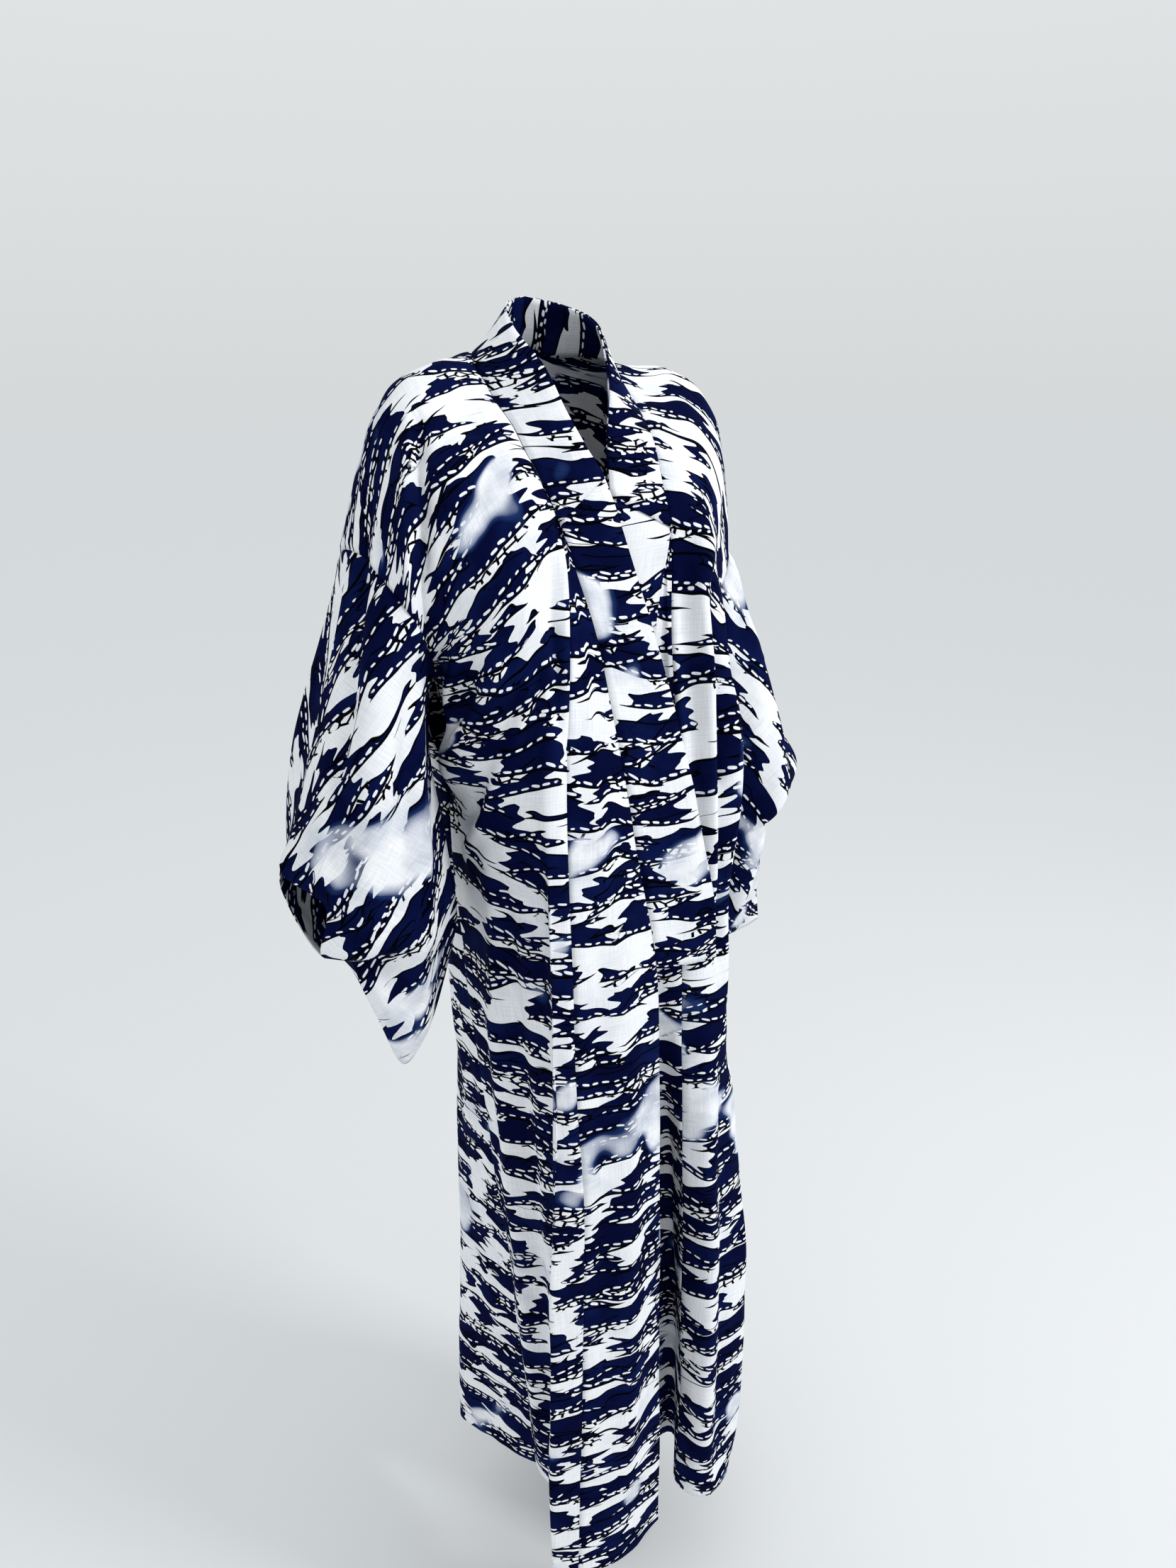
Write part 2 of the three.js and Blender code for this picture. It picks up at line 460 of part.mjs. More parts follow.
// Rings of points as a closed wall: an outer skin, an inner skin and the rim between them. The skins
// lie "lift" and "lift - thickness" out from the points.
function wall(faces, lift, thickness, steps) {
  const ids = [...new Set(faces.flat())];
  const place = new Map(ids.map((id, k) => [id, k]));
  const still = new THREE.Vector3();
  const skin = (height) => ids.flatMap((id) => points[id].clone()
    .addScaledVector(outward[id], height).add(steps.get(id) ?? still).toArray());
  const triangles = [];
  const edges = new Set();
  for (const face of faces.flatMap(facesOf)) {
    const [a, b, c] = face.map((id) => place.get(id));
    triangles.push([a, b, c], [a + ids.length, c + ids.length, b + ids.length]);
    [[a, b], [b, c], [c, a]].forEach(([from, to]) => edges.add(`${from} ${to}`));
  }
  for (const edge of edges) {
    const [from, to] = edge.split(" ").map(Number);
    if (!edges.has(`${to} ${from}`)) {
      const [fromInner, toInner] = [from + ids.length, to + ids.length];
      // Both pieces at a seam split its rim the same way, so that neither twists into the other.
      if (ids[from] < ids[to]) {
        triangles.push([from, fromInner, toInner], [from, toInner, to]);
      } else {
        triangles.push([from, fromInner, to], [to, fromInner, toInner]);
      }
    }
  }
  const geometry = new THREE.BufferGeometry();
  const places = [...skin(lift), ...skin(lift - thickness)];
  geometry.setAttribute("position", new THREE.Float32BufferAttribute(places, 3));
  geometry.setIndex(triangles.flat());
  geometry.computeVertexNormals();
  return geometry;
}

const group = new THREE.Group();
group.name = "kimono";

function addPiece(name, geometry, color) {
  const mesh = new THREE.Mesh(geometry, new THREE.MeshStandardMaterial({ color, roughness: 0.9, metalness: 0 }));
  mesh.name = name;
  group.add(mesh);
}

const PIECES = [
  { name: "body_right", color: "#c9d2e2" },
  { name: "body_left", color: "#c5cfe0" },
  { name: "okumi_right", color: "#ccd4e3" },
  { name: "okumi_left", color: "#c1cbdc" },
  { name: "collar", color: "#d3dae7" },
  { name: "sleeve_right", color: "#cad3e3" },
  { name: "sleeve_left", color: "#c7d0e1" },
];

for (const { name, color } of PIECES) {
  const thickness = name === "collar" ? COLLAR : CLOTH;
  const faces = rings.filter((ring) => ring.piece === name).map((ring) => ring.ids);
  addPiece(name, wall(faces, thickness / 2, thickness, seamSteps(name)), color);
}

// The over-collar lies on the outer face of the collar, from one chest round the neck to the other.
const overReach = stepsTo(NAPE) + stepsTo(OVER_COLLAR_REACH);
const covered = rings.filter((ring) => ring.piece === "collar" && ring.row < overReach);
const overLift = COLLAR / 2 + OVER_COLLAR_LIFT + CLOTH;
addPiece("over_collar", wall(covered.map((ring) => ring.ids), overLift, CLOTH, seamSteps("collar")), "#d6dde9");

export default group;
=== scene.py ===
import math

import bmesh
import bpy
import numpy as np
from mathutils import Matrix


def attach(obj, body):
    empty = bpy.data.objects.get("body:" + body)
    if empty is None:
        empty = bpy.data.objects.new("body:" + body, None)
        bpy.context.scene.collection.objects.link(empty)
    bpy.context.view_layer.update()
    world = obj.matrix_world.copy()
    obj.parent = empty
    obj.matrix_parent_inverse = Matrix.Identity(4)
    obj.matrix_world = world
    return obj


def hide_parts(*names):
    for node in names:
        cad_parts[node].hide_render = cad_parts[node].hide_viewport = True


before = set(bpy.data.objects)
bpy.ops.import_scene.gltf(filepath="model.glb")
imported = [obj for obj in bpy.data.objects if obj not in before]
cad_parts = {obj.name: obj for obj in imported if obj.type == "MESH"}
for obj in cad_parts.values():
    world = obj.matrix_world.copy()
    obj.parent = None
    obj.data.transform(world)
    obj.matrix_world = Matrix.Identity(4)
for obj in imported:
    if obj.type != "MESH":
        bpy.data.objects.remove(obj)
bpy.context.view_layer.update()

# ----------------------------------------------------------
# Camera. A short lens close to the garment, at the wearer's right front and at neck height,
# tipped down so that the sleeves and the open fronts are seen a little from above.
# ----------------------------------------------------------
camera_data = bpy.data.cameras.new("camera")
camera_data.sensor_width = 36
camera_data.lens = 26
camera_data.clip_start = 0.05
camera = bpy.data.objects.new("camera", camera_data)
camera.location = (-0.5875, -1.0696, -0.035)
TIPPED, TURNED = 18.9, -30    # degrees down from the level, and round the upright from the front
camera.rotation_euler = (math.radians(90 - TIPPED), 0, math.radians(TURNED))
bpy.context.scene.collection.objects.link(camera)
bpy.context.scene.camera = camera

# ----------------------------------------------------------
# Body panels, right and left. Each is one width of cotton that runs from the front hem over the
# shoulder to the back hem, without a shoulder seam. They are sewn to each other down the centre
# back, and each to itself at the side, below the open underarm.
# ----------------------------------------------------------
MM = 0.001
MESH_PITCH = 6.0 * MM     # spacing of the mesh down the cloth, at most
ACROSS = 12               # mesh steps between two named columns of a body panel
CLOTH = 0.8 * MM          # thickness of the cotton
SEAM_REACH = 0.04         # how far into the cloth a seam draws it, in metres
GROOVE_DEPTH, GROOVE_WIDTH = 2.2, 3.8    # of a seam, in millimetres
DOUBLE = 0.02 * MM        # points closer than this are one point
SIDE_SEAM_TOP = 7         # row where the side seam starts, counted from the shoulder row
ARMPIT = 4                # row where the sleeve seam ends
OKUMI_POINT = 4           # row where the okumi starts at a point
NAPE = 2                  # row of the centre back neck
BODY_LOOSE = 0.013        # slopes of the unevenness of the cloth
# Where each panel lies on the printed length, in metres across it and down it, and the lean of the
# rows of the print: a slope, and the ways down from the shoulder over which it grows and fades.
BODY_PRINT = {"right": (0.4, 0.0), "left": (0.4, 1.63)}
PRINT_LEAN, LEAN_GROWS, LEAN_FADES = 0.32, 0.18, 0.5

# Places on the hanging cloth in millimetres, one row per level from the shoulder to the hem. A row
# runs from the inner edge of the panel to the sleeve seam, open underarm or side seam. Where the
# collar is sewn to the panel, the last place is on the collar's free edge.
BODY_COLUMNS = ["edge", "pleat", "tuck", "flank", "hip", "side", "collar"]


def named(columns, rows):
    """Each row of places as a dictionary by the names of its columns."""
    return [dict(zip(columns, row)) for row in rows]


SHOULDER = dict(zip(("right", "left"), named(BODY_COLUMNS, [
    [(-77, 45, 0), (-120, 32, -5), (-158, 24, -20), (-192, 18, -48), (-218, 8, -105), (-240, -5, -173),
     (-42, 22, 30)],
    [(78, 45, 2), (122, 36, -4), (163, 32, -15), (197, 28, -43), (206, 24, -108), (206, 24, -184),
     (50, 20, 36)],
])))
FRONT = {"right": named(BODY_COLUMNS, [
    [(-76, -3, -35), (-115, -8, -38), (-152, -22, -52), (-186, -34, -84), (-212, -46, -135),
     (-230, -59, -190), (-31, -22, -8)],
    [(-72, -48, -75), (-108, -58, -82), (-142, -72, -102), (-174, -82, -138), (-195, -88, -182),
     (-207, -87, -231), (-27, -56, -48)],
    [(-66, -84, -117), (-98, -98, -128), (-130, -108, -155), (-158, -110, -196), (-175, -98, -238),
     (-182, -69, -275), (-17, -82, -85)],
    [(-61, -107, -148), (-93, -124, -168), (-124, -130, -202), (-150, -124, -240), (-168, -94, -270),
     (-175, -43, -287), (-9, -100, -110)],
    [(-74, -140, -255), (-97, -142, -262), (-122, -140, -285), (-147, -124, -312), (-161, -86, -330),
     (-156, -40, -345)],
    [(-80, -150, -330), (-103, -151, -336), (-122, -143, -350), (-150, -122, -368), (-164, -80, -380),
     (-152, -22, -385)],
    [(-85, -159, -410), (-108, -158, -414), (-116, -144, -418), (-138, -114, -424), (-147, -64, -424),
     (-143, -2, -420)],
    [(-89, -172, -540), (-112, -170, -541), (-102, -141, -540), (-124, -106, -540), (-137, -56, -540),
     (-137, 2, -540)],
    [(-89, -176, -620), (-114, -172, -620), (-97, -139, -620), (-117, -102, -620), (-131, -55, -620),
     (-134, -4, -620)],
    [(-88, -180, -720), (-116, -174, -720), (-91, -138, -720), (-110, -98, -720), (-124, -56, -720),
     (-130, -12, -720)],
    [(-82, -186, -880), (-120, -176, -880), (-84, -134, -880), (-98, -98, -880), (-110, -60, -880),
     (-118, -24, -880)],
    [(-86, -190, -1130), (-126, -181, -1130), (-78, -130, -1130), (-84, -98, -1130), (-92, -68, -1130),
     (-97, -40, -1130)],
    [(-99, -200, -1402), (-130, -184, -1400), (-74, -128, -1392), (-74, -100, -1388), (-77, -74, -1385),
     (-80, -50, -1383)],
]), "left": named(BODY_COLUMNS, [
    [(77, 0, -30), (117, -6, -36), (152, -18, -50), (177, -26, -84), (190, -24, -140), (197, -20, -200),
     (43, -12, 4)],
    [(73, -48, -72), (106, -62, -84), (129, -78, -108), (144, -82, -144), (161, -62, -194),
     (176, -44, -240), (29, -42, -34)],
    [(67, -82, -116), (94, -98, -130), (112, -104, -158), (123, -103, -200), (135, -80, -246),
     (153, -31, -283), (12, -68, -78)],
    [(64, -106, -160), (90, -121, -175), (107, -124, -205), (122, -112, -245), (138, -72, -275),
     (147, -11, -294), (0, -93, -128)],
    [(55, -126, -270), (84, -139, -278), (106, -138, -296), (126, -120, -318), (144, -80, -334),
     (148, -24, -345)],
    [(55, -136, -345), (87, -148, -350), (113, -146, -358), (135, -126, -372), (152, -82, -384),
     (150, -16, -388)],
    [(56, -143, -415), (88, -153, -418), (115, -150, -420), (138, -127, -424), (155, -80, -424),
     (150, -4, -420)],
    [(60, -149, -540), (88, -156, -540), (112, -150, -540), (132, -126, -540), (148, -78, -540),
     (148, -10, -540)],
    [(62, -151, -620), (89, -158, -620), (114, -153, -620), (134, -128, -620), (152, -80, -620),
     (154, -14, -620)],
    [(65, -152, -720), (90, -160, -720), (116, -157, -720), (140, -134, -720), (160, -88, -720),
     (164, -20, -720)],
    [(71, -152, -880), (88, -166, -880), (113, -169, -880), (144, -148, -880), (171, -104, -880),
     (176, -30, -880)],
    [(76, -152, -1130), (88, -176, -1130), (114, -183, -1130), (154, -164, -1130), (192, -116, -1130),
     (197, -42, -1130)],
    [(76, -153, -1400), (86, -183, -1402), (107, -191, -1403), (147, -172, -1400), (189, -120, -1397),
     (197, -48, -1394)],
])}
BACK = {"right": named(BODY_COLUMNS, [
    [(-48, 88, 9), (-78, 96, -2), (-118, 76, -12), (-158, 55, -30), (-195, 42, -92), (-230, 43, -190),
     (-28, 64, 55)],
    [(0, 100, 12), (-50, 106, -14), (-100, 102, -36), (-146, 90, -74), (-180, 78, -140),
     (-207, 57, -231), (0, 80, 64)],
    [(0, 112, -60), (-56, 120, -82), (-108, 118, -108), (-150, 103, -150), (-176, 78, -210),
     (-182, 24, -275)],
    [(0, 119, -140), (-58, 129, -158), (-112, 125, -184), (-150, 105, -222), (-169, 68, -260),
     (-175, -6, -287)],
    [(0, 122, -240), (-58, 130, -252), (-112, 122, -272), (-145, 100, -300), (-161, 64, -326),
     (-164, 20, -342)],
    [(0, 122, -330), (-57, 127, -338), (-108, 117, -350), (-138, 94, -366), (-152, 56, -380),
     (-153, 14, -385)],
    [(0, 121, -420), (-56, 124, -420), (-104, 112, -420), (-131, 86, -420), (-144, 44, -420),
     (-143, -2, -420)],
    [(0, 120, -540), (-55, 121, -540), (-100, 108, -540), (-121, 79, -540), (-139, 42, -540),
     (-137, 2, -540)],
    [(0, 120, -620), (-55, 120, -620), (-99, 107, -620), (-118, 78, -620), (-136, 40, -620),
     (-134, -4, -620)],
    [(0, 120, -720), (-55, 120, -720), (-98, 106, -720), (-115, 77, -720), (-132, 35, -720),
     (-130, -12, -720)],
    [(0, 120, -880), (-55, 120, -880), (-100, 106, -880), (-117, 76, -880), (-125, 27, -880),
     (-118, -24, -880)],
    [(0, 121, -1130), (-55, 121, -1130), (-103, 106, -1130), (-122, 76, -1130), (-115, 20, -1130),
     (-97, -40, -1130)],
    [(0, 122, -1400), (-55, 122, -1400), (-106, 106, -1398), (-129, 79, -1395), (-107, 21, -1389),
     (-80, -50, -1383)],
]), "left": named(BODY_COLUMNS, [
    [(48, 88, 9), (78, 96, -2), (120, 78, -10), (159, 64, -28), (186, 60, -96), (197, 62, -200),
     (30, 64, 56)],
    [(0, 100, 12), (50, 106, -14), (100, 103, -36), (142, 95, -76), (163, 86, -146), (176, 72, -240),
     (0, 80, 64)],
    [(0, 112, -60), (56, 120, -82), (105, 119, -110), (138, 106, -154), (152, 84, -216),
     (153, 43, -283)],
    [(0, 119, -140), (58, 129, -158), (106, 125, -186), (136, 106, -226), (147, 74, -266),
     (147, 19, -294)],
    [(0, 122, -240), (58, 130, -252), (106, 122, -272), (135, 100, -302), (148, 66, -326),
     (149, 30, -345)],
    [(0, 122, -330), (58, 128, -338), (107, 118, -350), (138, 94, -368), (152, 54, -382),
     (151, 10, -388)],
    [(0, 121, -420), (58, 125, -420), (108, 114, -420), (140, 88, -420), (154, 46, -420),
     (150, -4, -420)],
    [(0, 120, -540), (58, 123, -540), (108, 112, -540), (139, 86, -540), (153, 42, -540),
     (148, -10, -540)],
    [(0, 120, -620), (58, 122, -620), (109, 112, -620), (142, 86, -620), (158, 40, -620),
     (154, -14, -620)],
    [(0, 120, -720), (59, 122, -720), (111, 112, -720), (149, 84, -720), (167, 37, -720),
     (164, -20, -720)],
    [(0, 120, -880), (60, 122, -880), (115, 111, -880), (158, 82, -880), (179, 32, -880),
     (176, -30, -880)],
    [(0, 121, -1130), (61, 122, -1130), (120, 110, -1130), (168, 78, -1130), (194, 26, -1130),
     (197, -42, -1130)],
    [(0, 122, -1400), (60, 122, -1400), (119, 108, -1400), (168, 75, -1398), (194, 22, -1396),
     (197, -48, -1394)],
])}


def spline(places, at):
    """A smooth curve through the places along their first axis. Each span is a cubic whose slopes at
    its ends come from its neighbours, timed by the square root of the distance between places."""
    ends = [2 * places[:1] - places[1:2], places, 2 * places[-1:] - places[-2:-1]]
    padded = np.concatenate(ends)
    span = np.clip(np.floor(at).astype(int), 0, len(places) - 2)
    w = (at - span).reshape((-1,) + (1,) * (places.ndim - 1))
    p0, p1, p2, p3 = (padded[span + k] for k in range(4))
    d0, d1, d2 = (np.sqrt(np.linalg.norm(b - a, axis=-1, keepdims=True))
                  for a, b in ((p0, p1), (p1, p2), (p2, p3)))
    d1 = np.where(d1 < 1e-6, 1.0, d1)
    d0, d2 = np.where(d0 < 1e-6, d1, d0), np.where(d2 < 1e-6, d1, d2)
    t1 = d1 * ((p1 - p0) / d0 - (p2 - p0) / (d0 + d1) + (p2 - p1) / d1)
    t2 = d1 * ((p2 - p1) / d1 - (p3 - p1) / (d1 + d2) + (p3 - p2) / d2)
    return p1 + w * t1 + w**2 * (3 * (p2 - p1) - 2 * t1 - t2) + w**3 * (2 * (p1 - p2) + t1 + t2)


def steps_at(counts):
    """Where the mesh lines fall between the places: counts[k] equal parts in span k, then the end."""
    return np.concatenate([k + np.arange(n) / n for k, n in enumerate(counts)] + [[len(counts)]])


def column(rows, name):
    """The places of one column, from every row, in metres."""
    return np.array([row[name] for row in rows], float) * MM


def steps_along(places):
    """The number of mesh steps in each span, for steps of about MESH_PITCH."""
    return np.ceil(np.linalg.norm(np.diff(places, axis=0), axis=1) / MESH_PITCH).astype(int)


def facing(grid):
    """The unit normal at every point of a grid: its slope down crossed with its slope across."""
    down, over = np.gradient(grid, axis=0), np.gradient(grid, axis=1)
    normal = np.cross(down, over)
    return normal / np.maximum(np.linalg.norm(normal, axis=-1, keepdims=True), 1e-12)


def lengths(grid, axis):
    """Distance travelled along one axis of a grid, starting from zero."""
    parts = np.linalg.norm(np.diff(grid, axis=axis), axis=-1)
    zero = np.zeros_like(np.take(parts, [0], axis=axis))
    return np.cumsum(np.concatenate([zero, parts], axis=axis), axis=axis)


# The longest side edge of the four quarters settles the mesh, so that all the seams share points.
quarters = [column([SHOULDER[side], *part[side]], "side")
            for part in (FRONT, BACK) for side in ("right", "left")]
STEPS = np.max([steps_along(places) for places in quarters], axis=0)
HALF = int(STEPS.sum())


def steps_to(row):
    """The number of mesh steps from the shoulder to a row of places."""
    return int(STEPS[:row].sum())


def body_half(side):
    """The hanging surface of one half: smooth columns run down the places, then a smooth row through
    the columns at every level. The side seam takes the back's points for the front as well."""
    rows = [*reversed(BACK[side]), SHOULDER[side], *FRONT[side]]
    down = steps_at([*STEPS[::-1], *STEPS])
    columns = np.stack([spline(column(rows, name), down) for name in BODY_COLUMNS[:-1]])
    grid = spline(columns, steps_at([ACROSS] * 5)).swapaxes(0, 1)
    grid[:HALF - steps_to(NAPE) + 1, 0, 0] = 0
    below = np.arange(steps_to(SIDE_SEAM_TOP), HALF + 1)
    grid[HALF - below, -1] = grid[HALF + below, -1]
    return grid


def pressed(grid, way, far):
    """The grid with a small groove, a bell in section, where far, the distance to a seam, is nil."""
    return grid - (GROOVE_DEPTH * MM * np.exp(-(far / (GROOVE_WIDTH * MM)) ** 2))[..., None] * way


def build(name, sheets, thickness):
    """A cloth piece from grids of points. Every grid square is one face, and the UV place of a point
    is where it lies on the printed length in metres. Double points are merged where sheets meet or
    run to a point."""
    places, faces, uvs, first = [], [], [], 0
    for grid, turned, uv in sheets:
        m, k = grid.shape[:2]
        ids = first + np.arange(m * k).reshape(m, k)
        quads = np.stack([ids[:-1, :-1], ids[1:, :-1], ids[1:, 1:], ids[:-1, 1:]], axis=-1)
        quads = quads.reshape(-1, 4)
        quads = quads[:, ::-1] if turned else quads
        faces.append(quads)
        places.append(grid.reshape(-1, 3))
        uvs.append(uv.reshape(-1, 2))
        first += m * k
    places, faces, uvs = np.concatenate(places), np.concatenate(faces), np.concatenate(uvs)
    mesh = bpy.data.meshes.new(f"{name}_cloth")
    mesh.from_pydata(places.tolist(), [], faces.tolist())
    layer = mesh.uv_layers.new(name="cut")
    layer.data.foreach_set("uv", uvs[faces.ravel()].astype(np.float32).ravel())
    piece = bpy.data.objects.new(f"{name}_cloth", mesh)
    bpy.context.scene.collection.objects.link(piece)
    merge = bmesh.new()
    merge.from_mesh(mesh)
    bmesh.ops.remove_doubles(merge, verts=merge.verts, dist=DOUBLE)
    merge.to_mesh(mesh)
    merge.free()
    mesh.polygons.foreach_set("use_smooth", np.ones(len(mesh.polygons), bool))
    wall = piece.modifiers.new("cloth", "SOLIDIFY")
    wall.thickness, wall.offset, wall.use_even_offset = thickness, 0, False
    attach(piece, "root")
    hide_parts(name)
    return piece


def sewn(grid, seam):
    """The grid with its first column laid on the seam. The move fades out across the cloth, as the
    cube of what is left of the seam's reach."""
    far = lengths(grid, 1)
    fade = np.clip(1 - far / SEAM_REACH, 0, 1) ** 3
    return grid + (seam - grid[:, 0])[:, None] * fade[..., None]


# Creases of the hanging cloth, in millimetres: the places that each runs through, how far it stands
# proud (or how deep it lies, where negative) and how wide it is.
SHARP = 2.3               # how much the creases stand out, all together
FAR = 9.0                 # farther than any place on the garment lies from a crease, in metres
WAVES = (0.024, 0.16, 14)    # shortest and longest wave of the unevenness in metres, and how many
CREASES = [
    # right front, from the shoulder into the underarm, and the drawn folds below it
    ([(-166, -20, -50), (-188, -76, -141), (-197, -91, -200), (-189, -79, -263)], -6.5, 6),
    ([(-172, -12, -50), (-199, -68, -143), (-208, -86, -202), (-201, -80, -264)], 4, 8),
    ([(-152, -50, -78), (-164, -94, -150), (-170, -104, -215)], 3, 14),
    ([(-163, -106, -245), (-166, -80, -300), (-160, -56, -400)], 5, 8),
    ([(-150, -120, -262), (-156, -84, -330), (-150, -52, -400)], -4, 9),
    ([(-138, -133, -268), (-143, -118, -310), (-152, -60, -388), (-154, -20, -430)], 6, 13),
    ([(-124, -141, -290), (-138, -126, -350), (-150, -84, -430), (-146, -30, -480)], -4, 10),
    ([(-112, -143, -300), (-141, -131, -372), (-141, -88, -441), (-138, -30, -500)], 4, 10),
    ([(-128, -130, -180), (-112, -142, -250), (-120, -140, -300)], 3, 18),
    # down from the point of the okumi
    ([(-66, -114, -164), (-76, -142, -255), (-82, -152, -350)], 3, 8),
    ([(-80, -120, -172), (-88, -143, -252), (-95, -152, -345)], -3, 7),
    ([(-101, -136, -214), (-98, -143, -300), (-104, -155, -400)], 3, 9),
    # long soft folds down the lower right front and side
    ([(-108, -152, -430), (-108, -164, -640), (-112, -172, -980)], -3, 12),
    ([(-141, -88, -470), (-128, -62, -800), (-100, -66, -1130), (-84, -76, -1380)], 5, 14),
    ([(-128, -104, -480), (-112, -96, -800), (-90, -92, -1120), (-76, -98, -1380)], -4, 12),
    # left front
    ([(67, -92, -128), (57, -124, -260), (62, -142, -420), (70, -152, -640)], 3, 8),
    ([(108, -93, -126), (86, -130, -215), (90, -152, -400), (96, -158, -600)], 5, 8),
    ([(120, -96, -150), (98, -132, -230), (104, -152, -420), (108, -160, -640)], -5, 8),
    ([(128, -104, -190), (120, -132, -300), (124, -146, -460), (126, -156, -700)], 4, 10),
    ([(140, -76, -240), (143, -96, -330), (130, -130, -460)], -4, 12),
    ([(96, -160, -700), (100, -176, -1000), (98, -188, -1390)], 4, 14),
    ([(118, -158, -740), (124, -176, -1050), (120, -190, -1390)], -5, 16),
    ([(150, -130, -800), (160, -150, -1100), (165, -160, -1390)], 5, 18),
    # okumi
    ([(-60, -170, -480), (-56, -182, -800), (-54, -192, -1240)], -2.5, 14),
    ([(-20, -176, -520), (-18, -190, -900), (-22, -200, -1390)], 3, 16),
    # back: from the shoulder blades down, and the drawn folds below both underarms
    ([(-60, 118, -60), (-58, 134, -220), (-48, 120, -420), (-44, 112, -800)], 4, 16),
    ([(-96, 112, -70), (-100, 128, -240), (-84, 118, -460), (-78, 110, -900)], -4, 14),
    ([(70, 118, -64), (62, 134, -240), (52, 120, -460), (48, 112, -860)], 4, 15),
    ([(110, 110, -80), (108, 124, -260), (92, 116, -480), (84, 108, -940)], -4, 13),
    ([(-160, 92, -190), (-152, 96, -280), (-120, 108, -420), (-104, 108, -620)], 5, 13),
    ([(-170, 70, -230), (-154, 70, -330), (-132, 84, -480), (-116, 90, -700)], -5, 11),
    ([(150, 96, -190), (142, 96, -290), (118, 106, -430), (104, 106, -640)], 5, 13),
    ([(160, 68, -240), (150, 66, -340), (134, 80, -480), (120, 88, -700)], -5, 11),
    ([(0, 124, -520), (4, 118, -900), (2, 116, -1390)], -4, 14),
    ([(-60, 104, -900), (-66, 104, -1150), (-60, 106, -1390)], 5, 18),
    ([(110, 92, -880), (122, 94, -1150), (120, 96, -1390)], 5, 18),
    # right sleeve: along the arm, and soft hollows in the hanging bag
    ([(-214, -18, -120), (-240, -36, -190), (-257, -60, -249), (-273, -84, -308),
      (-291, -96, -370), (-309, -101, -464)], -4, 9),
    ([(-224, -66, -200), (-244, -84, -290), (-262, -100, -380), (-280, -108, -480)], 3, 14),
    ([(-216, -92, -260), (-226, -110, -350), (-240, -116, -440), (-262, -112, -560)], -3.5, 16),
    ([(-206, -88, -280), (-206, -112, -380), (-214, -116, -480), (-236, -108, -620)], 3.5, 16),
    ([(-290, -84, -520), (-262, -100, -580), (-232, -96, -640)], -3, 16),
    ([(-260, 20, -190), (-292, 10, -330), (-318, -10, -470)], 4, 14),
    ([(-240, 50, -220), (-268, 44, -360), (-292, 20, -520)], -4, 14),
    # left sleeve
    ([(206, -30, -200), (214, -40, -330), (230, -50, -470)], 4, 12),
    ([(222, -10, -210), (244, -20, -340), (262, -40, -470)], -4, 12),
    ([(214, -30, -420), (232, -30, -560), (228, -24, -680)], 4, 14),
    ([(216, 40, -240), (236, 36, -380), (250, 20, -540)], -4, 14),
]


def folded(grid, way, loose, held=1.0):
    """The grid with its creases and unevenness pressed in along the outward way, where it isn't held.
    A crease is a bell across its line, and rises and dies as the root of a half sine along it. How far
    the line lies off the cloth, in the outward way, counts for about a third, so a line needn't lie in
    the cloth exactly. The unevenness is a sum of waves with nearly upright crests, slow and tall or
    quick and low, with slopes of about loose."""
    lift = np.zeros(grid.shape[:2])
    for places, height, width in CREASES:
        places = np.array(places) * MM
        parts = np.linalg.norm(np.diff(places, axis=0), axis=1)
        gap, along = np.full(lift.shape, FAR), np.zeros(lift.shape)
        for k, part in enumerate(parts):
            line = places[k + 1] - places[k]
            t = np.clip((grid - places[k]) @ line / part**2, 0, 1)
            off = grid - places[k] - t[..., None] * line
            deep = (off * way).sum(axis=-1)
            near = np.sqrt(np.maximum((off**2).sum(axis=-1) - 0.9 * deep**2, 0))
            along = np.where(near < gap, (parts[:k].sum() + t * part) / parts.sum(), along)
            gap = np.minimum(gap, near)
        bell = SHARP * height * MM * np.exp(-(gap / (width * MM)) ** 2)
        lift += bell * np.sin(np.pi * along) ** 0.5
    draw = np.random.default_rng(7)
    for pitch in np.geomspace(*WAVES):
        turn = draw.uniform(0, 2 * np.pi)
        wave = 2 * np.pi / pitch * np.array([np.cos(turn), np.sin(turn), draw.normal(0, 0.3)])
        tall = loose * pitch * draw.uniform(0.4, 1.0)
        lift += tall * np.sin(grid @ wave + draw.uniform(0, 2 * np.pi))
    return grid + (lift * held)[..., None] * way


# Plain-woven cotton, so matt, with slubs along its threads, printed in navy and black that have
# faded and bled in places. Rows of dark crowns lie on a mottled white ground. A crown stands on a
# baseline that wanders across the cloth. It has a string of white dashes inside its lower edge,
# ink outlines, and here and there a net of branches below it.
INK, NAVY, FADED, BLEED = "#010206", "#050b32", "#12225a", "#2f4d88"
GROUND, MOTTLE, THREAD_SHADE = "#f9fafc", "#c3cad6", "#eaecf0"
PRINT_SCALE = (780.0, 970.0, 0.0)  # units of the print in a metre: 1.28 mm across, 1.03 mm down
ROW_SWAY = 42.0           # how far a baseline wanders, in these units, as are the others below
ROW_FOOT = 8.0            # from the lower end of a row's band up to its baseline
CROWN_PUSH = 46.0         # how far the ends of a crown run out sideways
LOBE_RISE = 18.0          # how uneven the tops of the crowns are
DASH_PITCH = 9.6          # from one white dash to the next
NET_DEPTH = 17.0          # how far a net of branches hangs down
SOFT = 0.3                # width of the soft edge of the dye
# Pitch, lean, seed, tallest crown and how much of the row is bare, for each family of rows.
FAMILIES = [(42, 0.03, 3.0, 29, 0.41), (39, -0.16, 21.0, 21, 0.46), (57, 0.28, 40.0, 19, 0.50),
            (26, 0.06, 63.0, 11, 0.57)]


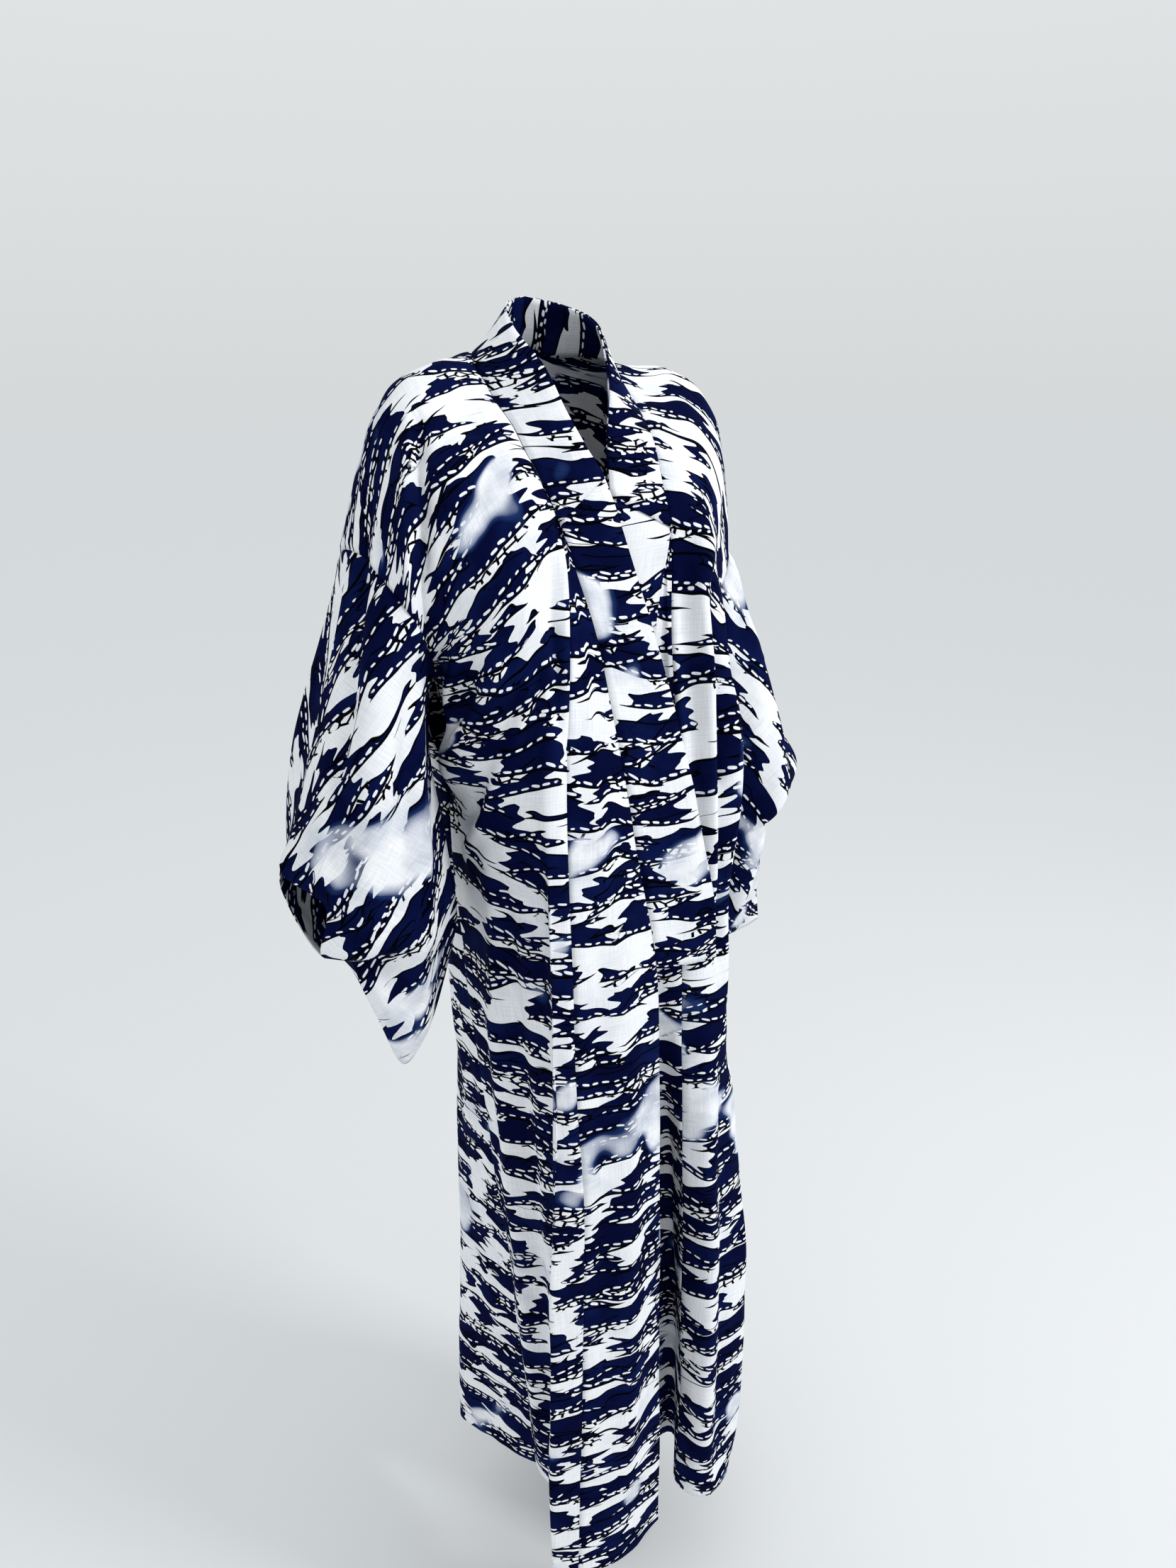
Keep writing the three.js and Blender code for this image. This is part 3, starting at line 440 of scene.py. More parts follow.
def linear(code):
    """An sRGB hex colour as linear red, green, blue and alpha."""
    part = np.array([int(code[i:i + 2], 16) for i in (1, 3, 5)]) / 255
    return (*np.where(part <= 0.04045, part / 12.92, ((part + 0.055) / 1.055) ** 2.4), 1.0)


def put(tree, kind, inputs=(), **settings):
    """Adds one node, gives it its settings, links or sets its inputs, in order or by name, and
    returns its output."""
    new = tree.nodes.new("ShaderNode" + kind)
    for name, value in settings.items():
        setattr(new, name, value)
    by_name = {s.name: s for s in reversed(new.inputs) if s.enabled}
    pairs = ([(by_name[key], value) for key, value in inputs.items()] if isinstance(inputs, dict)
             else zip(new.inputs, inputs))
    for socket, value in pairs:
        if isinstance(value, bpy.types.NodeSocket):
            tree.links.new(value, socket)
        else:
            socket.default_value = value
    return next((s for s in new.outputs if s.enabled), None)


rows = bpy.data.node_groups.new("printed_rows", "ShaderNodeTree")
for name in ("X", "Y", "Pitch", "Lean", "Seed", "Reach", "Share"):
    rows.interface.new_socket(name, in_out="INPUT", socket_type="NodeSocketFloat")
for name in ("Navy", "Ink", "Chalk", "Net"):
    rows.interface.new_socket(name, in_out="OUTPUT", socket_type="NodeSocketFloat")
x, y, pitch, lean, seed, reach, share = list(rows.nodes.new("NodeGroupInput").outputs)[:7]

# the baseline of a row wanders with a slow noise, and above is the height over the baseline
at = put(rows, "CombineXYZ", [x, y, put(rows, "Math", [seed, 200.0], operation="MULTIPLY")])
at = put(rows, "VectorMath", [at, (0.0115, 0.010, 0.005)], operation="MULTIPLY")
sway = put(rows, "TexNoise", {"Vector": at, "Scale": 1.0, "Detail": 1.5})
sway = put(rows, "Math", [sway, ROW_SWAY], operation="MULTIPLY")
level = put(rows, "Math", [x, lean, y], operation="MULTIPLY_ADD")
level = put(rows, "Math", [level, sway], operation="ADD")
turn = put(rows, "Math", [level, pitch], operation="DIVIDE")
row = put(rows, "Math", [turn], operation="FLOOR")
above = put(rows, "Math", [row, 1.0], operation="ADD")
above = put(rows, "Math", [above, turn], operation="SUBTRACT")
above = put(rows, "Math", [above, pitch, -ROW_FOOT], operation="MULTIPLY_ADD")
own = put(rows, "Math", [row, 7.31, seed], operation="MULTIPLY_ADD")

# a crown stands where a noise along the row is over the share that stays bare, and its ends run
# out sideways in fingers, because x is pushed to and fro by the level
at = put(rows, "CombineXYZ", [x, level, own])
at = put(rows, "VectorMath", [at, (0.014, 0.115, 1.0)], operation="MULTIPLY")
finger = put(rows, "TexNoise", {"Vector": at, "Scale": 1.0, "Detail": 0.0})
pushed = put(rows, "Math", [finger, CROWN_PUSH, x], operation="MULTIPLY_ADD")
noises = []
for place, scale in (((pushed, own, 0.0), (0.0185, 1.0, 0.0)),
                     ((x, own, 5.0), (0.036, 1.0, 1.0)),
                     ((x, own, 11.0), (0.021, 1.0, 1.0))):
    at = put(rows, "VectorMath", [put(rows, "CombineXYZ", place), scale], operation="MULTIPLY")
    noises.append(put(rows, "TexNoise", {"Vector": at, "Scale": 1.0, "Detail": 0.0}))
stand, lobes, hang = noises
over = put(rows, "Math", [stand, share], operation="SUBTRACT")
dome = put(rows, "MapRange", [over, 0.0, 0.13], interpolation_type="SMOOTHSTEP")
lowest = put(rows, "Math", [reach, LOBE_RISE / 2], operation="SUBTRACT")
tall = put(rows, "Math", [lobes, LOBE_RISE, lowest], operation="MULTIPLY_ADD")
tall = put(rows, "Math", [dome, tall], operation="MULTIPLY")
under = put(rows, "Math", [tall, above], operation="SUBTRACT")
inside = put(rows, "Math", [put(rows, "MapRange", [under, 0.0, SOFT]),
                            put(rows, "MapRange", [above, 0.0, SOFT])], operation="MULTIPLY")

# an ink line along the top of a crown, and one along its baseline, which runs on a little
top_line = put(rows, "Math", [under], operation="ABSOLUTE")
top_line = put(rows, "MapRange", [top_line, 1.1, 0.8])
for value, low, high in ((above, -1.0, -0.7), (over, 0.0, 0.006)):
    limit = put(rows, "MapRange", [value, low, high])
    top_line = put(rows, "Math", [top_line, limit], operation="MULTIPLY")
tail = put(rows, "MapRange", [over, -0.035, 0.01, 0.0, 1.1])
low_line = put(rows, "Math", [above], operation="ABSOLUTE")
low_line = put(rows, "Math", [tail, low_line], operation="SUBTRACT")
low_line = put(rows, "MapRange", [low_line, 0.0, SOFT])
ink = put(rows, "Math", [top_line, low_line], operation="MAXIMUM")

# white dashes with rounded corners, each with its own length, height, slant and thickness
cell = put(rows, "Math", [x, 1 / DASH_PITCH, own], operation="MULTIPLY_ADD")
count = put(rows, "Math", [cell], operation="FLOOR")
chance = put(rows, "TexWhiteNoise", {"Vector": put(rows, "CombineXYZ", [count, row, seed])})
long, raised, slant, thick = (put(rows, "Math", [chance, span, least], operation="MULTIPLY_ADD")
                              for span, least in ((2.6, 1.7), (1.6, 2.3), (6.0, -3.0), (0.45, 0.95)))
off = put(rows, "Math", [cell, count], operation="SUBTRACT")
off = put(rows, "Math", [off, 0.5], operation="SUBTRACT")
along = put(rows, "Math", [off], operation="ABSOLUTE")
along = put(rows, "Math", [along, DASH_PITCH], operation="MULTIPLY")
along = put(rows, "Math", [along, long], operation="DIVIDE")
height = put(rows, "Math", [above, raised], operation="SUBTRACT")
height = put(rows, "Math", [off, slant, height], operation="MULTIPLY_ADD")
height = put(rows, "Math", [height], operation="ABSOLUTE")
height = put(rows, "Math", [height, thick], operation="DIVIDE")
oval = put(rows, "Math", [put(rows, "Math", [along, 3.0], operation="POWER"),
                          put(rows, "Math", [height, 3.0], operation="POWER")], operation="ADD")
dash = put(rows, "Math", [put(rows, "MapRange", [oval, 1.1, 0.8]),
                          put(rows, "MapRange", [tall, 5.8, 6.2])], operation="MULTIPLY")

# where a net of branches hangs below a crown
deep = put(rows, "MapRange", [hang, 0.57, 0.72, 0.0, NET_DEPTH])
deep = put(rows, "Math", [deep, above], operation="ADD")
net = put(rows, "MapRange", [deep, 0.0, SOFT])
for value, low, high in ((above, -0.9, -1.2), (tall, 5.0, 7.0)):
    limit = put(rows, "MapRange", [value, low, high])
    net = put(rows, "Math", [net, limit], operation="MULTIPLY")
for socket, value in zip(rows.nodes.new("NodeGroupOutput").inputs, (inside, ink, dash, net)):
    rows.links.new(value, socket)

cotton = bpy.data.materials.new("printed_cotton")
cotton.use_nodes = True
dye = cotton.node_tree
dye.nodes.clear()
cut = put(dye, "UVMap", uv_map="cut")
place = put(dye, "VectorMath", [cut, PRINT_SCALE], operation="MULTIPLY")
across, down, _ = put(dye, "SeparateXYZ", [place]).node.outputs
made = [put(dye, "Group", [across, down, *family], node_tree=rows).node.outputs
        for family in FAMILIES]
navy, ink, chalk, net = made[0]
for more in made[1:]:
    navy, ink, chalk, net = (put(dye, "Math", pair, operation="MAXIMUM")
                             for pair in zip((navy, ink, chalk, net), more))

# the branches of a net are the borders between cells, and the cells are left white
cells = put(dye, "VectorMath", [place, (0.095, 0.14, 0.0)], operation="MULTIPLY")
border = put(dye, "TexVoronoi", {"Vector": cells, "Scale": 1.0, "Randomness": 0.9},
             feature="DISTANCE_TO_EDGE", voronoi_dimensions="2D")
branch = put(dye, "MapRange", [border, 0.150, 0.115])
drawn = put(dye, "Math", [branch, net], operation="MULTIPLY")
ink = put(dye, "Math", [ink, drawn], operation="MAXIMUM")
white = put(dye, "Math", [1.0, branch], operation="SUBTRACT")
white = put(dye, "Math", [net, white], operation="MULTIPLY")
chalk = put(dye, "Math", [chalk, white], operation="MAXIMUM")

# the dye: navy that fades here and there, black lines, and a paler blue round the washed patches
wash = put(dye, "TexNoise", {"Vector": place, "Scale": 0.0085, "Detail": 2.0, "Roughness": 0.45})
left = put(dye, "MapRange", [wash, 0.672, 0.592], interpolation_type="SMOOTHSTEP")
fade = put(dye, "TexNoise", {"Vector": place, "Scale": 0.018, "Detail": 3.0})
fade = put(dye, "MapRange", [fade, 0.45, 0.75, 0.0, 0.6])
paint = put(dye, "Mix", {"Factor": fade, "A": linear(NAVY), "B": linear(FADED)}, data_type="RGBA")
paint = put(dye, "Mix", {"Factor": ink, "A": paint, "B": linear(INK)}, data_type="RGBA")
firm = put(dye, "MapRange", [left, 0.20, 0.80])
paint = put(dye, "Mix", {"Factor": firm, "A": linear(BLEED), "B": paint}, data_type="RGBA")
shown = put(dye, "Math", [navy, ink], operation="MAXIMUM")
for part in (put(dye, "Math", [1.0, chalk], operation="SUBTRACT"),
             put(dye, "MapRange", [left, 0.04, 0.55])):
    shown = put(dye, "Math", [shown, part], operation="MULTIPLY")

# the mottled ground, with the dye on it
mottle = put(dye, "TexNoise", {"Vector": place, "Scale": 0.026, "Detail": 4.0, "Roughness": 0.55})
stain = put(dye, "Math", [put(dye, "MapRange", [mottle, 0.40, 0.68, 0.0, 0.85]),
                          put(dye, "MapRange", [wash, 0.52, 0.64, 0.15, 1.0])], operation="MULTIPLY")
bare = put(dye, "Mix", {"Factor": stain, "A": linear(GROUND), "B": linear(MOTTLE)}, data_type="RGBA")
colour = put(dye, "Mix", {"Factor": shown, "A": bare, "B": paint}, data_type="RGBA")

# the weave: slubs along both threads, which lie about 1.2 mm apart across the cloth and 0.9 mm
# down it, at least twice as far as real ones, so that they show
weave = []
for scale in ((0.03, 1.1, 0.0), (1.1, 0.03, 0.0)):
    at = put(dye, "VectorMath", [place, scale], operation="MULTIPLY")
    weave.append(put(dye, "TexNoise", {"Vector": at, "Scale": 1.0, "Detail": 2.0}))
thread = put(dye, "Math", weave, operation="ADD")
shade = put(dye, "MapRange", [thread, 0.8, 1.25])
colour = put(dye, "Mix", {"Factor": shade, "A": colour, "B": linear(THREAD_SHADE)},
             data_type="RGBA", blend_type="MULTIPLY")
bump = put(dye, "Bump", {"Strength": 0.25, "Distance": 0.0006, "Height": thread})
skin = put(dye, "BsdfPrincipled", {"Base Color": colour, "Roughness": 0.88,
                                   "Specular IOR Level": 0.02, "Normal": bump})
put(dye, "OutputMaterial", [skin])

body = {}
for side, way in (("right", -1), ("left", 1)):
    grid = body_half(side)
    out = facing(grid) * way
    grid = folded(grid, out, BODY_LOOSE)
    far = np.minimum(lengths(grid, 1), lengths(grid[:, ::-1], 1)[:, ::-1])
    grid = pressed(grid, out, far)
    if side == "left":
        # the centre back seam, from the nape down to the hem
        below = slice(0, HALF - steps_to(NAPE) + 1)
        grid[below] = sewn(grid[below], body["right"][below, 0])
    else:
        grid[:HALF - steps_to(NAPE) + 1, 0, 0] = 0
    below = np.arange(steps_to(SIDE_SEAM_TOP), HALF + 1)
    seam = (grid[HALF - below, -1] + grid[HALF + below, -1]) / 2
    grid[HALF - below, -1], grid[HALF + below, -1] = seam, seam
    body[side] = grid
    across, down = lengths(grid, 1), lengths(grid, 0)
    down = down - down[HALF]
    down = np.broadcast_to(down.mean(axis=1, keepdims=True), across.shape)
    # the rows of the print lean up towards the sides, most at breast height, in front and at the back
    lean = PRINT_LEAN * np.tanh(down / LEAN_GROWS) * np.exp(-(down / LEAN_FADES) ** 2)
    uv = np.stack([way * across, down + lean * across], axis=-1) + BODY_PRINT[side]
    piece = build(f"body_{side}", [(grid, side == "right", uv)], CLOTH)
    piece.data.materials.append(cotton)

# ----------------------------------------------------------
# Okumi, the narrow overlap panels. Each is a half width of the same cotton, sewn to the front panel
# from a point on the collar seam down to the hem.
# ----------------------------------------------------------
OKUMI_ACROSS = [8, 8]     # mesh steps from the seam to the middle and on to the free edge
OKUMI_LOOSE = 0.009
OKUMI_PRINT = {"right": (0.7, 0.0), "left": (2.1, 0.0)}
OKUMI_COLUMNS = ["middle", "free", "collar"]
OKUMI = {"right": named(OKUMI_COLUMNS, [
    [(-57, -139, -254), (-40, -137, -253), (18, -135, -230)],
    [(-55, -152, -329), (-30, -149, -328), (39, -150, -316)],
    [(-52, -162, -410), (-17, -157, -408), (57, -158, -396)],
    [(-42, -173, -540), (7, -164, -538), (86, -166, -530)],
    [(-34, -178, -620), (20, -167, -620), (96, -169, -620)],
    [(-30, -182, -720), (24, -169, -720)],
    [(-26, -188, -880), (28, -172, -880)],
    [(-28, -194, -1130), (29, -177, -1130)],
    [(-38, -204, -1406), (27, -187, -1402)],
]), "left": named(OKUMI_COLUMNS, [
    [(48, -123, -262), (40, -121, -250), (-16, -117, -226)],
    [(43, -132, -342), (29, -130, -335), (-30, -127, -318)],
    [(38, -139, -414), (18, -137, -410), (-46, -133, -396)],
    [(30, -145, -540), (-2, -143, -538), (-70, -138, -530)],
    [(28, -146, -620), (-8, -145, -620), (-74, -140, -614)],
    [(44, -136, -720), (-4, -140, -720)],
    [(78, -112, -880), (8, -118, -880)],
    [(101, -98, -1130), (24, -106, -1130)],
    [(110, -92, -1396), (30, -104, -1396)],
])}
okumi = {}
for side, way in (("right", 1), ("left", -1)):
    start = FRONT[side][OKUMI_POINT - 1]["edge"]
    rows = [{"middle": start, "free": start}, *OKUMI[side]]
    down = steps_at(STEPS[OKUMI_POINT:])
    seam = body[side][HALF + steps_to(OKUMI_POINT):, 0]
    middle, free = (spline(column(rows, name), down) for name in ("middle", "free"))
    grid = spline(np.stack([seam, middle, free]), steps_at(OKUMI_ACROSS)).swapaxes(0, 1)
    out = facing(grid) * way
    grid = sewn(pressed(folded(grid, out, OKUMI_LOOSE), out, lengths(grid, 1)), seam)
    okumi[side] = grid
    uv = np.stack([lengths(grid, 1), lengths(grid, 0)], axis=-1) + OKUMI_PRINT[side]
    piece = build(f"okumi_{side}", [(grid, side == "left", uv)], CLOTH)
    piece.data.materials.append(cotton)

# ----------------------------------------------------------
# Collar, one long band folded to four layers and sewn round the neck and down both fronts, and the
# over-collar, a second short band that wraps the part at the neck, where it wears first.
# ----------------------------------------------------------
COLLAR_REACH = 9          # row where the collar ends, counted from the shoulder row
OVER_COLLAR_REACH = 4     # row where the over-collar ends
COLLAR_ACROSS = [8]       # mesh steps across the band
COLLAR_CLOTH = 1.6 * MM   # thickness of the folded band
OVER_COLLAR_LIFT = 2.2    # from the middle of the collar's thickness to the over-collar's, in mm
COLLAR_LOOSE = 0.004
COLLAR_PRINT, OVER_COLLAR_PRINT = (1.3, 0.0), 0.6    # the second is counted from the first
halves, over = [], []
for side, way in (("right", 1), ("left", -1)):
    on_back = BACK[side][:NAPE][::-1]
    rows = [*on_back, SHOULDER[side], *FRONT[side][:OKUMI_POINT], *OKUMI[side]]
    steps = np.concatenate([STEPS[:NAPE][::-1], STEPS[:COLLAR_REACH]])
    free = spline(column(rows[:len(steps) + 1], "collar"), steps_at(steps))
    neck = body[side][HALF - steps_to(NAPE):HALF + steps_to(OKUMI_POINT), 0]
    seam = np.concatenate([neck, okumi[side][:, -1]])[:len(free)]
    grid = spline(np.stack([seam, free]), steps_at(COLLAR_ACROSS)).swapaxes(0, 1)
    out = facing(grid) * way
    grid = sewn(folded(grid, out, COLLAR_LOOSE), seam)
    uv = np.stack([lengths(grid, 1), lengths(grid, 0) * way], axis=-1) + COLLAR_PRINT
    halves.append((grid, side == "left", uv))
    reach = steps_to(NAPE) + steps_to(OVER_COLLAR_REACH) + 1
    lift = facing(grid)[:reach] * way * OVER_COLLAR_LIFT * MM
    over.append((grid[:reach] + lift, side == "left", uv[:reach] + OVER_COLLAR_PRINT))
piece = build("collar", halves, COLLAR_CLOTH)
piece.data.materials.append(cotton)
piece = build("over_collar", over, CLOTH)
piece.data.materials.append(cotton)

# ----------------------------------------------------------
# Sleeves. Each is one width of cotton folded over the arm, sewn to the body round the shoulder, to
# itself along the bottom and below the cuff, and left open at the inner edge.
# ----------------------------------------------------------
SLEEVE_LOOSE = 0.013
SLEEVE_PRINT = {"right": 0.3, "left": 1.1}
CUFF = (4, 6)             # rows, counted from the shoulder row, between which the hand comes out
HELD_REACH = 0.03         # how far the outer edge and the bottom seam hold the cloth smooth, in metres
# Places in millimetres, one row per level from below the shoulder down to the bottom seam. A row
# runs from the outer edge, which is the fold and, below the cuff, a seam, to the open inner edge.
SLEEVE = {"right": {"front": [
    [(-263, -22, -256), (-258, -76, -266), (-236, -103, -288), (-206, -92, -314), (-187, -58, -326)],
    [(-296, -40, -345), (-287, -90, -350), (-260, -117, -370), (-220, -110, -390), (-187, -72, -398)],
    [(-326, -56, -425), (-314, -97, -428), (-288, -104, -444), (-236, -121, -462), (-177, -76, -476)],
    [(-345, -65, -461), (-321, -94, -470), (-294, -108, -484), (-240, -124, -500), (-172, -78, -512)],
    [(-312, -92, -497), (-297, -108, -503), (-276, -120, -512), (-234, -124, -526), (-170, -76, -544)],
    [(-320, -92, -546), (-300, -108, -548), (-270, -118, -546), (-226, -118, -546), (-172, -72, -566)],
    [(-292, -84, -560), (-280, -92, -564), (-258, -98, -566), (-222, -104, -570), (-175, -68, -584)],
    [(-278, -82, -600), (-266, -94, -604), (-246, -99, -608), (-217, -96, -612), (-184, -68, -618)],
    [(-260, -80, -650), (-250, -89, -654), (-234, -92, -658), (-216, -88, -660), (-200, -72, -660)],
], "back": [
    [(-263, -22, -256), (-260, 20, -264), (-240, 46, -286), (-208, 44, -314), (-188, 22, -328)],
    [(-296, -40, -345), (-288, 8, -350), (-262, 36, -370), (-224, 40, -392), (-190, 14, -400)],
    [(-326, -56, -425), (-316, -10, -432), (-288, 18, -450), (-240, 30, -466), (-180, 6, -478)],
    [(-345, -65, -461), (-330, -22, -474), (-298, 6, -490), (-244, 20, -504), (-174, -2, -516)],
    [(-336, -40, -505), (-318, -16, -516), (-286, -2, -522), (-238, 8, -532), (-172, -12, -546)],
    [(-320, -92, -546), (-308, -54, -552), (-276, -22, -554), (-230, -8, -558), (-173, -26, -568)],
    [(-292, -84, -560), (-284, -54, -576), (-260, -32, -580), (-224, -24, -584), (-175, -36, -588)],
    [(-278, -82, -600), (-268, -58, -610), (-247, -44, -613), (-218, -42, -615), (-185, -44, -620)],
    [(-260, -80, -650), (-251, -68, -656), (-235, -61, -659), (-216, -58, -661), (-201, -58, -661)],
], "bottom": [(-249, -79, -684), (-244, -79, -694), (-238, -79, -700), (-230, -79, -696),
              (-221, -77, -686)]}, "left": {"front": [
    [(228, 8, -262), (221, -26, -272), (200, -50, -294), (177, -54, -318), (161, -34, -333)],
    [(256, -4, -340), (247, -44, -348), (226, -68, -366), (197, -66, -386), (175, -38, -400)],
    [(284, -20, -412), (271, -56, -420), (248, -76, -438), (216, -70, -456), (188, -40, -470)],
    [(306, -40, -468), (284, -62, -482), (258, -76, -500), (226, -72, -516), (194, -42, -530)],
    [(264, -40, -512), (254, -54, -520), (238, -62, -530), (214, -58, -542), (195, -36, -554)],
    [(270, -8, -560), (259, -36, -566), (240, -48, -572), (217, -46, -580), (197, -30, -588)],
    [(276, -4, -600), (264, -28, -605), (244, -38, -610), (220, -38, -616), (199, -26, -622)],
    [(283, -1, -640), (269, -17, -645), (247, -26, -650), (223, -27, -655), (201, -18, -660)],
    [(289, 1, -672), (273, -6, -678), (250, -13, -682), (225, -15, -686), (203, -10, -690)],
], "back": [
    [(228, 8, -262), (224, 46, -272), (202, 66, -294), (178, 56, -320), (163, 28, -336)],
    [(256, -4, -340), (249, 38, -350), (228, 60, -368), (199, 52, -390), (175, 22, -403)],
    [(284, -20, -412), (275, 22, -424), (252, 46, -442), (220, 42, -460), (188, 16, -474)],
    [(306, -40, -468), (288, 6, -484), (262, 32, -504), (228, 34, -520), (195, 14, -535)],
    [(266, 8, -514), (257, 24, -526), (243, 34, -538), (220, 31, -549), (197, 12, -560)],
    [(270, -8, -560), (266, 16, -572), (247, 28, -580), (222, 27, -586), (199, 10, -592)],
    [(276, -4, -600), (267, 15, -608), (248, 24, -613), (223, 22, -619), (200, 6, -624)],
    [(283, -1, -640), (271, 13, -647), (249, 19, -652), (225, 16, -657), (202, 2, -662)],
    [(289, 1, -672), (274, 8, -679), (251, 10, -683), (226, 7, -687), (204, -4, -691)],
], "bottom": [(292, 2, -692), (275, 1, -697), (252, -1, -700), (227, -4, -702), (205, -7, -704)]}}
COARSE = (26, 13)         # rows and columns of points in the net that a sleeve is flattened by
ROUNDS = 60               # rounds of the flattening


def flattened(grid):
    """Where a draped sheet lies when it is laid flat. Every square of a coarse net has its own flat
    shape. In turn, each is turned to fit the layout as well as it can, and then the whole layout is
    the least squares fit to the sides and diagonals of the turned squares. The armhole seam is
    laid along the second axis, and the layout is spread evenly from the net to the whole grid."""
    at = [np.linspace(0, n - 1, c).round().astype(int) for n, c in zip(grid.shape, COARSE)]
    net = grid[at[0]][:, at[1]]
    ids = np.arange(net[..., 0].size).reshape(net.shape[:2])
    corner = np.stack([ids[:-1, :-1], ids[:-1, 1:], ids[1:, 1:], ids[1:, :-1]], axis=-1)
    corner = corner.reshape(-1, 4)
    p = net.reshape(-1, 3)[corner]
    along = p[:, 1] + p[:, 2] - p[:, 0] - p[:, 3]
    along /= np.linalg.norm(along, axis=1, keepdims=True)
    over = p[:, 2] + p[:, 3] - p[:, 0] - p[:, 1]
    over -= (over * along).sum(axis=1, keepdims=True) * along
    over /= np.linalg.norm(over, axis=1, keepdims=True)
    own = np.einsum("qci,qi->qc", p, along) + 1j * np.einsum("qci,qi->qc", p, over)
    pairs = np.array([(0, 1), (1, 2), (2, 3), (3, 0), (0, 2), (1, 3)])
    a, b = corner[:, pairs[:, 0]].ravel(), corner[:, pairs[:, 1]].ravel()
    rule = np.zeros((ids.size, ids.size))
    for k, m, sign in ((a, a, 1), (b, b, 1), (a, b, -1), (b, a, -1)):
        np.add.at(rule, (k, m), sign)
    rule[0, 0] += 1
    solved = np.linalg.inv(rule)
    flat = (lengths(net, 1) + 1j * lengths(net, 0)).ravel()
    sides = own[:, pairs[:, 0]] - own[:, pairs[:, 1]]
    for _ in range(ROUNDS):
        now = flat[corner][:, pairs[:, 0]] - flat[corner][:, pairs[:, 1]]
        turn = (now * sides.conj()).sum(axis=1, keepdims=True)
        turned = (sides * turn / np.abs(turn)).ravel()
        pull = np.zeros(ids.size, complex)
        np.add.at(pull, a, turned)
        np.add.at(pull, b, -turned)
        flat = solved @ pull
    flat = flat.reshape(ids.shape)
    flat = (flat - flat[0, 0]) / np.exp(1j * np.angle(flat[0, -1] - flat[0, 0]))
    rows, columns = np.arange(grid.shape[0]), np.arange(grid.shape[1])
    tall = np.stack([np.interp(rows, at[0], line.real) + 1j * np.interp(rows, at[0], line.imag)
                     for line in flat.T], axis=1)
    wide = np.stack([np.interp(columns, at[1], line.real) + 1j * np.interp(columns, at[1], line.imag)
                     for line in tall])
    return np.stack([wide.imag, wide.real], axis=-1)


